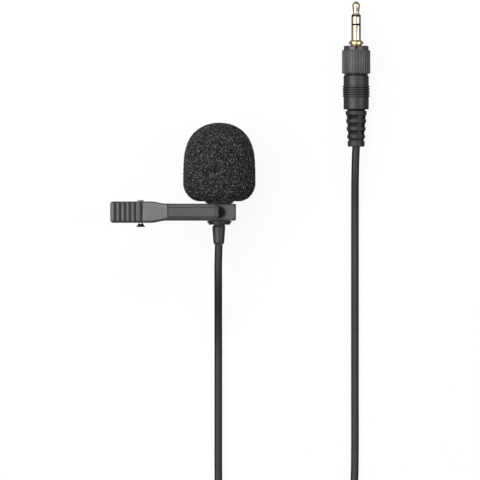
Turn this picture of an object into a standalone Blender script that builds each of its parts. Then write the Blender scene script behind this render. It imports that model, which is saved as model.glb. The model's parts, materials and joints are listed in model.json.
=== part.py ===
"""Lavalier microphone on its tie clip, with foam windscreen, cord and locking jack plug.

Metres, +Z up. The microphone lies on a surface with its axis along +Y, the clip's free jaw on
top, and the plug lies beside it. The cord is wound into a coil between the two. Pieces are placed
in the microphone's own frame, whose Y axis is the capsule's axis seen from above and whose X axis
passes through the middle of the holder ring. The empty that carries them moves that frame so that
the origin is below the middle of the microphone and its clip, on the surface.
"""

import math

import bmesh
import bpy
import numpy as np
from mathutils import Matrix, Vector

# Clearances
SEAT_GAP = 0.0003  # between pieces that rest on or beside each other
NEST_GAP = 0.00006  # between the plug's nested contacts, and round the cable's ends
TURN_GAP = 0.00008  # round a pin, rivet, hub or waist, and between screwed pieces

# Holder ring, a C round the housing's waist with a flat front for the swivel
WAIST_RADIUS = 0.0045
RING_LENGTH = 0.0062
RING_WALL = 0.0015
RING_FRONT_WALL = 0.0023
RING_CORNER = 0.0012
RING_CHAMFER = 0.0005
RING_SLIT = 0.0016

# Capsule housing, grille and end cap
HEAD_STEP = 0.00065
HEAD_LENGTH = 0.0112
HOUSING_WALL = 0.0007
GRILLE_LENGTH = 0.0024
GRILLE_WALL = 0.0006
GRILLE_SKIRT = 0.0014
GRILLE_HOLE_RADIUS = 0.0006
GRILLE_HOLE_CIRCLE = 0.0023
GRILLE_HOLES = 6
CAP_FLANGE = 0.00075
CAP_BOSS = 0.00065
CAP_STEP = 0.0005
CAP_WALL = 0.0007
CAP_SPIGOT = 0.0026

# Inside the housing
CAPSULE_RADIUS = 0.0030
CAPSULE_LENGTH = 0.0027
GASKET_LENGTH = 0.0030
MESH_THICKNESS = 0.0002
BOARD_THICKNESS = 0.0005
LEAD_RADIUS = 0.00030
CRIMP_WALL = 0.0009
CRIMP_LENGTH = 0.0014

# Foam windscreen
FOAM_RADIUS = 0.01317
FOAM_LENGTH = 0.02867
FOAM_SHOULDER = 0.00667  # height of the rounded lower edge
FOAM_LIP = 0.0015  # flat rim round the mouth
FOAM_DOME_POWER = 3.4
NECK_SHOWING = 0.0009  # housing that shows between the ring and the foam

# Cord and strain relief at the microphone
CORD_RADIUS = 0.001425
RELIEF_RADIUS = 0.0023
RELIEF_TAPER = 0.0004
RELIEF_LENGTH = 0.0068
RELIEF_NECK_WALL = 0.0005
RELIEF_FLANGE = 0.0006

# Clip: plan of the two jaws, measured from the pivot pin
PIVOT_REACH = 0.0286  # from the microphone's axis to the pin
GRIP_LENGTH = 0.01105
GRIP_HALF_WIDTH = 0.0039
GRIP_CORNER = 0.0011
RAMP_LENGTH = 0.0100
RAMP_STEP = 0.00025
FLARE_START = 0.0036  # where the grip begins to narrow towards the arm
ARM_HALF_WIDTH = 0.0031
ARM_TIP_CORNER = 0.0021
TIP_SETBACK = 0.0005  # the free jaw stops short of the microphone's axis
EYE_RADIUS = 0.0025
REAR_GRIP_NARROWER = 0.0003

# Clip: side profile of the jaws, as heights from the pin's axis
JAW_WALL = 0.0016
CREASE_HEIGHT = 0.0035
FOLD_HEIGHT = 0.0043
GRIP_END_HEIGHT = 0.0050
BITE_LENGTH = 0.0066  # the jaws' parallel stretch at the tip
REAR_FOLD_DROP = 0.0012
REAR_ARM_WALL = 0.0015
RIM_ARM = 0.00100
RIM_GRIP = 0.00050
RIDGE_GROOVES = 5
RIDGE_PITCH = 0.00178
RIDGE_DEPTH = 0.00040
FIRST_GROOVE = 0.0015  # from the grip's end
TEETH = 5
TOOTH_PITCH = 0.0010
TOOTH_DEPTH = 0.00025

# Clip: ears, pin and spring
EAR_THICKNESS = 0.0008
EAR_RADIUS = 0.0016
EAR_BASE = 0.0026
EAR_INSET = 0.0001
PIN_RADIUS = 0.0008
PIN_HEAD_RADIUS = 0.0013
PIN_HEAD_LENGTH = 0.0004
RETAINER_NECK_RADIUS = 0.0011
RETAINER_RADIUS = 0.00164
RETAINER_LENGTH = 0.0012
SPRING_WIRE_RADIUS = 0.00022
SPRING_TURNS = 2
SPRING_PITCH = 0.00092
SPRING_LEG = 0.0055

# Swivel rivet
RIVET_RADIUS = 0.0009
RIVET_HEAD_RADIUS = 0.0016
RIVET_HEAD_SUNK = 0.00035
RIVET_ANCHOR = 0.0014

# Plug: contacts, in front of the collar
PLUG_X = 0.0500
PLUG_EXIT_Y = 0.0242
PIN_CONTACT_RADIUS = 0.00175
TIP_ROD_RADIUS = 0.00045
TIP_INSULATOR_WALL = 0.00024
RING_CONTACT_WALL = 0.00021
RING_INSULATOR_WALL = 0.00021
SLEEVE_WALL = 0.00015  # the least it may be
INSULATOR_WIDTH = 0.00056
TIP_LENGTH = 0.00496
TIP_BULB_RADIUS = 0.00145
TIP_WAIST_RADIUS = 0.00108
TIP_BASE_RADIUS = 0.00162
TIP_WAIST_AT = 0.14  # shares of the tip's length, from its base
TIP_BULB_AT = 0.74
RING_CONTACT_LENGTH = 0.00262
SLEEVE_LENGTH = 0.0055
FLANGE_RADIUS = 0.00266
FLANGE_LENGTH = 0.0011
FLANGE_CONE = 0.0004
SHANK_RADIUS = 0.00205
STAGGER = 0.0006  # each contact ends further back than the one round it

# Plug: locking collar on its hub
COLLAR_RADIUS = 0.00517
COLLAR_LENGTH = 0.00855
COLLAR_RIBS = 30
RIB_DEPTH = 0.00030
COLLAR_CHAMFER = 0.00035
NOSE_STEP = 0.00060
NOSE_LENGTH = 0.00174
NOSE_NOTCHES = 8
NOTCH_WIDTH = 0.0009
NOTCH_DEPTH = 0.00045
COLLAR_BORE_RADIUS = 0.0039
COLLAR_LIP = 0.0014
HUB_NECK_RADIUS = 0.0032
HUB_FLANGE_STEP = 0.0006
HUB_FLANGE = 0.00035
HUB_PROUD = 0.0002
HUB_SCREW_LENGTH = 0.0045
RETAINING_RING = 0.0005
RETAINING_GROOVE = 0.0003

# Plug: barrel and boot
BARREL_RADIUS = 0.00462
BARREL_LENGTH = 0.01225
BARREL_WALL = 0.0008
BARREL_END_WALL = 0.0012
BARREL_CHAMFER = 0.0003
BAND_RAISE = 0.00034
BAND_GROOVES = 5
BAND_PITCH = 0.00087
BAND_GROOVE_WIDTH = 0.00040
BAND_START = 0.0042  # from the barrel's rear to the first groove
BOOT_RINGS = 5
BOOT_PITCH = 0.00285
BOOT_RING_LENGTH = 0.00125
BOOT_END_RADIUS = 0.0031
BOOT_TAPER = 0.00019
BOOT_GROOVE_DEPTH = 0.00026
BOOT_NECK_SHOWING = 0.0010
BOOT_NECK_DEPTH = 0.0006
BOOT_FLANGE = 0.0008
BOOT_CORE_WALL = 0.00045  # round the cable, behind the windows
BOOT_WINDOW_WIDTH = 0.0034
BOOT_WINDOW_MARGIN = 0.00012
BOOT_WINDOW_TURN = math.radians(-18)
CLAMP_WALL = 0.0005
CLAMP_LENGTH = 0.0012
TERMINAL_THICKNESS = 0.0003
TIP_TERMINAL_RADIUS = 0.00072
RING_TERMINAL_WIDTH = 0.0009

# Cord: coil of the length that isn't laid out
COIL_X = 0.0246
COIL_Y = -0.1270
COIL_MEAN_RADIUS = 0.0162
COIL_TURNS_PER_LAYER = 4.5
COIL_SPACING = 0.0033  # between neighbouring turns, and between the layers
COIL_POINTS = 24  # points in each loop
TIE_THICKNESS = 0.0004
TIE_WIDTH = 0.0025

# Route of the cord's two free stretches, chosen by hand: x, y, z in the microphone's frame
MIC_RUN_ROUTE = [
    (-0.0001, -0.0148, 0.01317),
    (-0.0002, -0.0188, 0.01305),
    (-0.0003, -0.0245, 0.01190),
    (-0.0004, -0.0310, 0.00905),
    (-0.0004, -0.0375, 0.00565),
    (-0.0004, -0.0440, 0.00310),
    (-0.0004, -0.0505, 0.00180),
    (-0.0004, -0.0580, 0.001425),
    (-0.0004, -0.0700, 0.001425),
    (-0.0004, -0.0820, 0.001425),
    (-0.0004, -0.0930, 0.001425),
    (-0.0003, -0.1010, 0.00145),
    (0.0000, -0.1090, 0.00165),
    (0.0006, -0.1165, 0.00200),
]
PLUG_RUN_ROUTE = [
    (0.0500, 0.0205, 0.00517),
    (0.0500, 0.0165, 0.00500),
    (0.0499, 0.0105, 0.00400),
    (0.0498, 0.0040, 0.00245),
    (0.0497, -0.0030, 0.00160),
    (0.0496, -0.0110, 0.001425),
    (0.0496, -0.0300, 0.001425),
    (0.0496, -0.0500, 0.001425),
    (0.0496, -0.0700, 0.001425),
    (0.0496, -0.0860, 0.001425),
    (0.0495, -0.0950, 0.00160),
    (0.0492, -0.1020, 0.00240),
    (0.0488, -0.1090, 0.00385),
    (0.0484, -0.1160, 0.00505),
]

# Facets round turned pieces
FINE = 32
ROUND = 20
SMALL = 12
TINY = 12
MERGE = 1e-6
SMOOTH_ANGLE = math.radians(34)
OVERLAP = 0.0002  # how far a joined shape sinks into its neighbour, and a cutter runs past a face

# Sizes that follow: the microphone's axis
ring_bore = WAIST_RADIUS + TURN_GAP
ring_radius = ring_bore + RING_WALL
ring_front = ring_bore + RING_FRONT_WALL
ring_top = RING_LENGTH / 2
head_radius = WAIST_RADIUS + HEAD_STEP
head_base = ring_top + SEAT_GAP
head_top = head_base + HEAD_LENGTH
head_bore = head_radius - HOUSING_WALL
waist_bore = WAIST_RADIUS - HOUSING_WALL
grille_base = head_top + TURN_GAP
grille_top = grille_base + GRILLE_LENGTH
skirt_radius = head_bore - TURN_GAP
skirt_bore = skirt_radius - GRILLE_WALL
skirt_base = grille_base - GRILLE_SKIRT
gasket_top = skirt_base - TURN_GAP
gasket_base = gasket_top - GASKET_LENGTH
capsule_front = gasket_top - TURN_GAP
capsule_back = capsule_front - CAPSULE_LENGTH
board_top = min(gasket_base, capsule_back) - TURN_GAP
board_base = board_top - BOARD_THICKNESS
foam_base = ring_top + NECK_SHOWING
foam_top = foam_base + FOAM_LENGTH
foam_bore = head_radius + SEAT_GAP
cap_top = -ring_top - TURN_GAP
cap_step_y = cap_top - CAP_FLANGE
cap_base = cap_step_y - CAP_BOSS
cap_radius = WAIST_RADIUS - TURN_GAP
cap_boss_radius = cap_radius - CAP_STEP
spigot_radius = waist_bore - TURN_GAP
spigot_bore = spigot_radius - CAP_WALL
spigot_top = cap_top + CAP_SPIGOT
cap_floor = cap_base + CAP_WALL
cable_bore = CORD_RADIUS + NEST_GAP
relief_neck = cable_bore + RELIEF_NECK_WALL
relief_top = cap_base - SEAT_GAP
relief_base = relief_top - RELIEF_LENGTH
relief_flange_base = cap_floor + TURN_GAP
relief_flange_top = relief_flange_base + RELIEF_FLANGE
crimp_base = relief_flange_top + TURN_GAP
cable_top = crimp_base + CRIMP_LENGTH + SEAT_GAP
axis_height = FOAM_RADIUS  # the foam lies on the surface

# Sizes that follow: the clip, with x and z from the pin's axis
ring_face_z = axis_height + ring_front
rear_bite_z = ring_face_z + SEAT_GAP + REAR_ARM_WALL
pivot_z = rear_bite_z + SEAT_GAP / 2
bite_gap = SEAT_GAP / 2  # from the pin's height to each jaw's bite
tip_x = PIVOT_REACH - TIP_SETBACK
eye_x = PIVOT_REACH + EYE_RADIUS
rear_flat_x = PIVOT_REACH - math.hypot(ring_radius, ring_top) - SEAT_GAP
near_ear_y = GRIP_HALF_WIDTH - EAR_INSET - EAR_THICKNESS / 2
far_ear_y = near_ear_y - EAR_THICKNESS - SEAT_GAP
pin_hole = PIN_RADIUS + TURN_GAP
pin_head_base = GRIP_HALF_WIDTH + SEAT_GAP
rivet_hole = RIVET_RADIUS + TURN_GAP
rivet_head_z = rear_bite_z - RIVET_HEAD_SUNK

# Sizes that follow: the plug, along its own axis
plug_z = COLLAR_RADIUS  # the collar lies on the surface
boot_top = PLUG_EXIT_Y + (BOOT_RINGS - 1) * BOOT_PITCH + BOOT_RING_LENGTH
barrel_rear = boot_top + BOOT_NECK_SHOWING
barrel_front = barrel_rear + BARREL_LENGTH
barrel_bore = BARREL_RADIUS - BARREL_WALL
boot_neck_radius = BOOT_END_RADIUS + (BOOT_RINGS - 1) * BOOT_TAPER - BOOT_NECK_DEPTH
boot_core_radius = cable_bore + BOOT_CORE_WALL
boot_flange_base = barrel_rear + BARREL_END_WALL + TURN_GAP
boot_flange_top = boot_flange_base + BOOT_FLANGE
hub_flange_base = barrel_front + TURN_GAP
hub_flange_top = hub_flange_base + HUB_FLANGE
hub_radius = barrel_bore - TURN_GAP
hub_rear = barrel_front - HUB_SCREW_LENGTH
hub_bore = SHANK_RADIUS + NEST_GAP
collar_base = hub_flange_top + TURN_GAP
collar_step = collar_base + COLLAR_LENGTH
collar_nose = collar_step + NOSE_LENGTH
nose_radius = COLLAR_RADIUS - NOSE_STEP
lip_top = collar_base + COLLAR_LIP
retaining_base = lip_top + TURN_GAP
retaining_top = retaining_base + RETAINING_RING
retaining_inner = HUB_NECK_RADIUS - RETAINING_GROOVE
hub_front = collar_nose + HUB_PROUD
flange_base = hub_front + SEAT_GAP
flange_top = flange_base + FLANGE_LENGTH
sleeve_base = flange_top + FLANGE_CONE
sleeve_top = sleeve_base + SLEEVE_LENGTH
ring_contact_base = sleeve_top + INSULATOR_WIDTH
ring_contact_top = ring_contact_base + RING_CONTACT_LENGTH
tip_base = ring_contact_top + INSULATOR_WIDTH
tip_top = tip_base + TIP_LENGTH
shank_end = hub_rear + STAGGER
tip_insulator_bore = TIP_ROD_RADIUS + NEST_GAP
tip_insulator_radius = tip_insulator_bore + TIP_INSULATOR_WALL
ring_contact_bore = tip_insulator_radius + NEST_GAP
ring_contact_radius = ring_contact_bore + RING_CONTACT_WALL
ring_insulator_bore = ring_contact_radius + NEST_GAP
ring_insulator_radius = ring_insulator_bore + RING_INSULATOR_WALL
sleeve_bore = ring_insulator_radius + NEST_GAP
pin_radius = max(PIN_CONTACT_RADIUS, sleeve_bore + SLEEVE_WALL)
insulator_radius = pin_radius - NEST_GAP
ring_insulator_end = shank_end - STAGGER
ring_contact_end = ring_insulator_end - STAGGER
tip_insulator_end = ring_contact_end - STAGGER
tip_rod_end = tip_insulator_end - STAGGER
tip_terminal_rear = tip_rod_end - NEST_GAP - TERMINAL_THICKNESS
ring_terminal_rear = ring_contact_end - NEST_GAP - TERMINAL_THICKNESS
clamp_base = boot_flange_top + TURN_GAP
clamp_top = clamp_base + CLAMP_LENGTH
plug_cable_top = clamp_top + TURN_GAP

# Sizes that follow: the cord
cord_diameter = 2 * CORD_RADIUS
coil_reach = COIL_TURNS_PER_LAYER * COIL_SPACING
coil_outer = COIL_MEAN_RADIUS + coil_reach / 2
coil_inner = COIL_MEAN_RADIUS - coil_reach / 2
coil_low = CORD_RADIUS + SEAT_GAP + TIE_THICKNESS
coil_high = coil_low + COIL_SPACING
run_spacing = 2.5 * cord_diameter
coil_in = Vector((COIL_X - coil_outer, COIL_Y + cord_diameter, coil_low))
coil_out = Vector((COIL_X + coil_outer, COIL_Y + cord_diameter, coil_high))
end_gap = Vector((0, SEAT_GAP, 0))

# The origin: the middle of the microphone with its clip, on the surface
centre_x = (FOAM_RADIUS - PIVOT_REACH - GRIP_LENGTH) / 2
centre_y = (foam_top + relief_base) / 2

# Colour, roughness and metallic value of each finish
FINISHES = {
    "matte_black": ((0.028, 0.028, 0.030), 0.48, 0.0),
    "satin_black": ((0.020, 0.020, 0.021), 0.36, 0.0),
    "black_rubber": ((0.016, 0.016, 0.017), 0.62, 0.0),
    "black_foam": ((0.014, 0.014, 0.015), 0.95, 0.0),
    "black_metal": ((0.024, 0.024, 0.026), 0.30, 1.0),
    "gold": ((0.86, 0.62, 0.26), 0.20, 1.0),
    "brass": ((0.70, 0.52, 0.24), 0.35, 1.0),
    "steel": ((0.55, 0.55, 0.56), 0.30, 1.0),
    "aluminium": ((0.75, 0.75, 0.77), 0.35, 1.0),
    "steel_mesh": ((0.35, 0.35, 0.36), 0.45, 1.0),
    "board_green": ((0.02, 0.14, 0.06), 0.50, 0.0),
    "red_sheath": ((0.45, 0.03, 0.02), 0.50, 0.0),
    "white_sheath": ((0.75, 0.75, 0.72), 0.50, 0.0),
}

ALONG_Y = (-math.pi / 2, 0, 0)  # turns a piece's own Z axis to +Y


def clear_scene():
    """Removes every object of the scene."""
    for old in list(bpy.data.objects):
        bpy.data.objects.remove(old, do_unlink=True)


def new_collection(name):
    """A collection linked to the scene."""
    collection = bpy.data.collections.new(name)
    bpy.context.scene.collection.children.link(collection)
    return collection


clear_scene()
pieces = new_collection("lavalier_microphone")
cutters = new_collection("cutters")
assembly = bpy.data.objects.new("microphone_frame", None)
assembly.location = (-centre_x, -centre_y, 0)
pieces.objects.link(assembly)


def paint(obj, finish):
    """Gives an object its own material."""
    colour, roughness, metallic = FINISHES[finish]
    material = bpy.data.materials.new(obj.name)
    material.use_nodes = True
    shader = material.node_tree.nodes["Principled BSDF"]
    shader.inputs["Base Color"].default_value = (*colour, 1)
    shader.inputs["Roughness"].default_value = roughness
    shader.inputs["Metallic"].default_value = metallic
    material.diffuse_color = (*colour, 1)
    obj.data.materials.clear()
    obj.data.materials.append(material)


def add(name, data, location=(0, 0, 0), rotation=(0, 0, 0), finish=None):
    """A piece of the microphone, or a cutting tool where it has no finish."""
    obj = bpy.data.objects.new(name, data)
    (pieces if finish else cutters).objects.link(obj)
    obj.parent = assembly
    obj.location = location
    obj.rotation_euler = rotation
    if finish:
        paint(obj, finish)
    else:
        obj.hide_render = True
        obj.display_type = "WIRE"
    return obj


def arc(x, y, radius, start, end, steps):
    """Points round a circle's centre, from one angle in degrees to another."""
    angles = np.radians(np.linspace(start, end, steps + 1))
    return [(x + radius * math.cos(a), y + radius * math.sin(a)) for a in angles]


def evaluated_mesh(obj):
    """The object's mesh with its modifiers, its curve caps welded."""
    bpy.context.view_layer.update()
    graph = bpy.context.evaluated_depsgraph_get()
    mesh = bpy.data.meshes.new_from_object(obj.evaluated_get(graph))
    shape = bmesh.new()
    shape.from_mesh(mesh)
    bmesh.ops.remove_doubles(shape, verts=shape.verts, dist=MERGE)
    shape.to_mesh(mesh)
    shape.free()
    return mesh


def turned(name, profile, steps, location=(0, 0, 0), rotation=ALONG_Y, finish=None):
    """A turned piece. The profile is (radius, height) points down its outer side. It ends on the
    axis for a solid piece, and is closed round its bore where no point lies on the axis."""
    mesh = bpy.data.meshes.new(name)
    count = len(profile)
    hollow = min(radius for radius, _ in profile) > 0
    edges = [(i, (i + 1) % count) for i in range(count if hollow else count - 1)]
    mesh.from_pydata([(radius, 0, height) for radius, height in profile], edges, [])
    obj = add(name, mesh, location, rotation, finish)
    screw = obj.modifiers.new("turn", "SCREW")
    screw.steps = steps
    screw.render_steps = steps
    screw.use_merge_vertices = True
    screw.merge_threshold = MERGE
    screw.use_smooth_shade = True
    return obj


def disc(name, radius, bottom, top, steps, **where):
    """A plain turned cylinder."""
    return turned(name, [(0, top), (radius, top), (radius, bottom), (0, bottom)], steps, **where)


def tube(name, inner, outer, bottom, top, steps, **where):
    """A plain turned tube."""
    profile = [(inner, top), (outer, top), (outer, bottom), (inner, bottom)]
    return turned(name, profile, steps, **where)


def extruded(name, outlines, low, high, location=(0, 0, 0), rotation=(0, 0, 0), finish=None):
    """A flat outline, with any holes, made solid between two heights on its own Z axis."""
    curve = bpy.data.curves.new(name, "CURVE")
    curve.dimensions = "2D"
    curve.fill_mode = "BOTH"
    curve.extrude = (high - low) / 2
    for outline in outlines:
        spline = curve.splines.new("POLY")
        spline.points.add(len(outline) - 1)
        for point, (x, y) in zip(spline.points, outline):
            point.co = (x, y, 0, 1)
        spline.use_cyclic_u = True
    sketch = bpy.data.objects.new(name + "_outline", curve)
    cutters.objects.link(sketch)
    mesh = evaluated_mesh(sketch)
    bpy.data.objects.remove(sketch)
    mesh.transform(Matrix.Translation((0, 0, (low + high) / 2)))
    return add(name, mesh, location, rotation, finish)


def wire(name, points, radius, resolution, finish):
    """A tube along points, with filled ends."""
    curve = bpy.data.curves.new(name, "CURVE")
    curve.dimensions = "3D"
    curve.bevel_depth = radius
    curve.bevel_resolution = resolution
    curve.use_fill_caps = True
    spline = curve.splines.new("POLY")
    spline.points.add(len(points) - 1)
    for point, place in zip(spline.points, points):
        point.co = (*place, 1)
    return add(name, curve, finish=finish)


def box(name, size, location, rotation=(0, 0, 0)):
    """A block with the given size, for cutting or joining."""
    shape = bmesh.new()
    bmesh.ops.create_cube(shape, size=1, matrix=Matrix.Diagonal((*size, 1)))
    mesh = bpy.data.meshes.new(name)
    shape.to_mesh(mesh)
    shape.free()
    return add(name, mesh, location, rotation)


def combine(obj, tool, operation):
    """Cuts, joins or intersects an object with a tool."""
    step = obj.modifiers.new(tool.name, "BOOLEAN")
    step.operation = operation
    step.object = tool


def cut(obj, tool):
    """Takes the tool's shape out of an object."""
    combine(obj, tool, "DIFFERENCE")


def join(obj, tool):
    """Adds the tool's shape to an object."""
    combine(obj, tool, "UNION")


def finish_pieces():
    """Makes every piece's modifiers part of its mesh, and shades its round faces smooth."""
    for obj in [o for o in pieces.objects if o.type == "MESH"]:
        mesh = evaluated_mesh(obj)
        mesh.name = obj.name
        mesh.shade_smooth()
        mesh.set_sharp_from_angle(angle=SMOOTH_ANGLE)
        obj.modifiers.clear()
        obj.data = mesh


def smooth_route(route, spacing):
    """Evenly spaced points on a smooth curve through the route's own points."""
    points = np.array([tuple(p) for p in route])
    stops = np.concatenate([[0], np.cumsum(np.linalg.norm(np.diff(points, axis=0), axis=1))])
    slopes = np.gradient(points, stops, axis=0)
    fine = []
    for a, b, pa, pb, ma, mb in zip(
        stops, stops[1:], points, points[1:], slopes, slopes[1:]
    ):
        for t in np.linspace(0, 1, 24, endpoint=False):
            h = (2 * t**3 - 3 * t**2 + 1, t**3 - 2 * t**2 + t, 3 * t**2 - 2 * t**3, t**3 - t**2)
            fine.append(h[0] * pa + h[1] * (b - a) * ma + h[2] * pb + h[3] * (b - a) * mb)
    fine = np.array(fine + [points[-1]])
    along = np.concatenate([[0], np.cumsum(np.linalg.norm(np.diff(fine, axis=0), axis=1))])
    places = np.linspace(0, along[-1], max(3, round(along[-1] / spacing) + 1))
    return [Vector([np.interp(s, along, fine[:, k]) for k in range(3)]) for s in places]


def cord_route(start, route, end):
    """The points of a free stretch of cord, none of it below the surface."""
    points = smooth_route([start, *route, end], run_spacing)
    return [Vector((p.x, p.y, max(p.z, CORD_RADIUS))) for p in points]


def least_gap(points, radius, skip):
    """The narrowest space between a wound tube's turns, leaving out each point's near neighbours."""
    places = np.array([tuple(p) for p in points])
    nearest = min(
        np.linalg.norm(places[i + skip :] - places[i], axis=1).min()
        for i in range(len(places) - skip)
    )
    return nearest - 2 * radius


# ---- Microphone -------------------------------------------------------------------------------

mic_axis = (0, 0, axis_height)


def make_housing():
    """The tube that holds the capsule: a wide head, and a waist that the ring grips."""
    shoulder = head_base + HOUSING_WALL
    edge = TURN_GAP
    turned(
        "capsule_housing",
        [
            (head_bore, head_top),
            (head_radius - edge, head_top),
            (head_radius, head_top - edge),
            (head_radius, head_base),
            (WAIST_RADIUS, head_base),
            (WAIST_RADIUS, -ring_top),
            (waist_bore, -ring_top),
            (waist_bore, shoulder),
            (head_bore, shoulder),
        ],
        ROUND,
        location=mic_axis,
        finish="satin_black",
    )


def make_grille():
    """The perforated cap in front of the capsule, and the fine mesh under it."""
    plate = grille_top - GRILLE_WALL
    edge = GRILLE_WALL / 2
    grille = turned(
        "grille",
        [
            (0, grille_top),
            (head_radius - edge, grille_top),
            (head_radius, grille_top - edge),
            (head_radius, grille_base),
            (skirt_radius, grille_base),
            (skirt_radius, skirt_base),
            (skirt_bore, skirt_base),
            (skirt_bore, plate),
            (0, plate),
        ],
        ROUND,
        location=mic_axis,
        finish="black_metal",
    )
    spots = [(0, 0)]
    for n in range(GRILLE_HOLES):
        turn = 2 * math.pi * n / GRILLE_HOLES
        spots.append((GRILLE_HOLE_CIRCLE * math.cos(turn), GRILLE_HOLE_CIRCLE * math.sin(turn)))
    for n, (x, z) in enumerate(spots):
        hole = disc(
            f"grille_hole_{n}",
            GRILLE_HOLE_RADIUS,
            plate - OVERLAP,
            grille_top + OVERLAP,
            TINY,
            location=(x, 0, axis_height + z),
        )
        cut(grille, hole)
    disc(
        "acoustic_mesh",
        skirt_bore - TURN_GAP,
        plate - TURN_GAP - MESH_THICKNESS,
        plate - TURN_GAP,
        SMALL,
        location=mic_axis,
        finish="steel_mesh",
    )


def make_capsule():
    """The electret capsule in its rubber gasket, with its circuit board."""
    tube(
        "capsule_gasket",
        CAPSULE_RADIUS + NEST_GAP,
        skirt_radius,
        gasket_base,
        gasket_top,
        SMALL,
        location=mic_axis,
        finish="black_rubber",
    )
    port = CAPSULE_RADIUS / 3
    port_floor = capsule_front - CAPSULE_LENGTH / 10
    turned(
        "electret_capsule",
        [
            (0, port_floor),
            (port, port_floor),
            (port, capsule_front),
            (CAPSULE_RADIUS, capsule_front),
            (CAPSULE_RADIUS, capsule_back),
            (0, capsule_back),
        ],
        SMALL,
        location=mic_axis,
        finish="aluminium",
    )
    disc(
        "capsule_board",
        skirt_radius - TURN_GAP,
        board_base,
        board_top,
        SMALL,
        location=mic_axis,
        finish="board_green",
    )


def make_mic_leads():
    """The cable's two conductors, from its end up to the board."""
    low = cable_top + SEAT_GAP
    high = board_base - SEAT_GAP
    for name, side, finish in (
        ("signal_lead", 1, "red_sheath"),
        ("ground_lead", -1, "white_sheath"),
    ):
        start = side * CORD_RADIUS / 2
        end = side * CAPSULE_RADIUS / 2
        lift = (high - low) / 4
        route = [
            (start, low, axis_height),
            (start, low + lift, axis_height),
            (end, high - lift, axis_height),
            (end, high, axis_height),
        ]
        wire(name, smooth_route(route, 4 * LEAD_RADIUS), LEAD_RADIUS, 1, finish)


def make_end_cap():
    """The cap screwed into the housing's lower end, which holds the strain relief."""
    hole = relief_neck + TURN_GAP
    bevel = CAP_FLANGE / 3
    turned(
        "end_cap",
        [
            (spigot_bore, spigot_top),
            (spigot_radius, spigot_top),
            (spigot_radius, cap_top),
            (cap_radius, cap_top),
            (cap_radius, cap_step_y + bevel),
            (cap_radius - bevel, cap_step_y),
            (cap_boss_radius, cap_step_y),
            (cap_boss_radius, cap_base + bevel),
            (cap_boss_radius - bevel, cap_base),
            (hole, cap_base),
            (hole, cap_floor),
            (spigot_bore, cap_floor),
        ],
        ROUND,
        location=mic_axis,
        finish="satin_black",
    )


def make_cable_entry():
    """The tapered strain relief, the cable's end inside it, and the crimp that holds the cable."""
    lip = RELIEF_TAPER / 3
    bottom = RELIEF_RADIUS - RELIEF_TAPER
    turned(
        "mic_strain_relief",
        [
            (cable_bore, relief_flange_top),
            (relief_neck + RELIEF_FLANGE, relief_flange_top),
            (relief_neck + RELIEF_FLANGE, relief_flange_base),
            (relief_neck, relief_flange_base),
            (relief_neck, relief_top),
            (RELIEF_RADIUS - lip, relief_top),
            (RELIEF_RADIUS, relief_top - 2 * lip),
            (RELIEF_RADIUS, relief_top - 4 * lip),
            (RELIEF_RADIUS - lip, relief_top - 5 * lip),
            (RELIEF_RADIUS - lip, relief_top - 7 * lip),
            (bottom, relief_base + 2 * lip),
            (bottom - 2 * lip, relief_base),
            (cable_bore, relief_base),
        ],
        SMALL,
        location=mic_axis,
        finish="black_rubber",
    )
    disc(
        "mic_cable_end",
        CORD_RADIUS,
        relief_base,
        cable_top,
        TINY,
        location=mic_axis,
        finish="black_rubber",
    )
    tube(
        "cable_crimp",
        cable_bore,
        cable_bore + CRIMP_WALL,
        crimp_base,
        crimp_base + CRIMP_LENGTH,
        SMALL,
        location=mic_axis,
        finish="brass",
    )


def make_windscreen():
    """The foam ball: a dome on a rounded foot, with a bore that grips the housing's head."""
    widest = foam_base + FOAM_SHOULDER
    foot = foam_bore + FOAM_LIP
    roof = grille_top + SEAT_GAP
    dome = []
    for share in np.sin(np.linspace(math.pi / 2, 0, 11)):
        radius = FOAM_RADIUS * math.sqrt(1 - share**FOAM_DOME_POWER)
        dome.append((radius, widest + share * (foam_top - widest)))
    lower = []
    for angle in np.linspace(0, math.pi / 2, 7)[1:]:
        radius = foot + (FOAM_RADIUS - foot) * math.cos(angle)
        lower.append((radius, widest - FOAM_SHOULDER * math.sin(angle)))
    bore = [(foam_bore, foam_base), (foam_bore, roof), (0, roof)]
    turned(
        "windscreen",
        dome + lower + bore,
        FINE,
        location=mic_axis,
        finish="black_foam",
    )


# ---- Clip -------------------------------------------------------------------------------------

swivel_axis = (0, 0, ring_face_z)
pivot = (-PIVOT_REACH, 0, pivot_z)


def ring_outline():
    """The ring's C shape, with x across and y towards the swivel."""
    outer_slit = math.degrees(math.asin(RING_SLIT / 2 / ring_radius))
    inner_slit = math.degrees(math.asin(RING_SLIT / 2 / ring_bore))
    corner_x = ring_radius - RING_CORNER
    corner_y = ring_front - RING_CORNER
    return (
        arc(0, 0, ring_radius, -90 + outer_slit, 0, 7)
        + arc(corner_x, corner_y, RING_CORNER, 0, 90, 3)
        + arc(-corner_x, corner_y, RING_CORNER, 90, 180, 3)
        + arc(0, 0, ring_radius, 180, 270 - outer_slit, 7)
        + arc(0, 0, ring_bore, 270 - inner_slit, -90 + inner_slit, ROUND)
    )


def chamfer_rims(obj, width):
    """Chamfers the outer rims of the ring's two flat ends."""
    shape = bmesh.new()
    shape.from_mesh(obj.data)
    bmesh.ops.dissolve_limit(
        shape, angle_limit=math.radians(0.5), verts=shape.verts, edges=shape.edges
    )
    rims = []
    for edge in shape.edges:
        middle = (edge.verts[0].co + edge.verts[1].co) / 2
        flat = [abs(face.normal.z) > 0.9 for face in edge.link_faces]
        if any(flat) and not all(flat) and middle.xy.length > (ring_bore + ring_radius) / 2:
            rims.append(edge)
    bmesh.ops.bevel(
        shape, geom=rims, offset=width, offset_type="OFFSET", segments=1, affect="EDGES"
    )
    shape.to_mesh(obj.data)
    shape.free()


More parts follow.
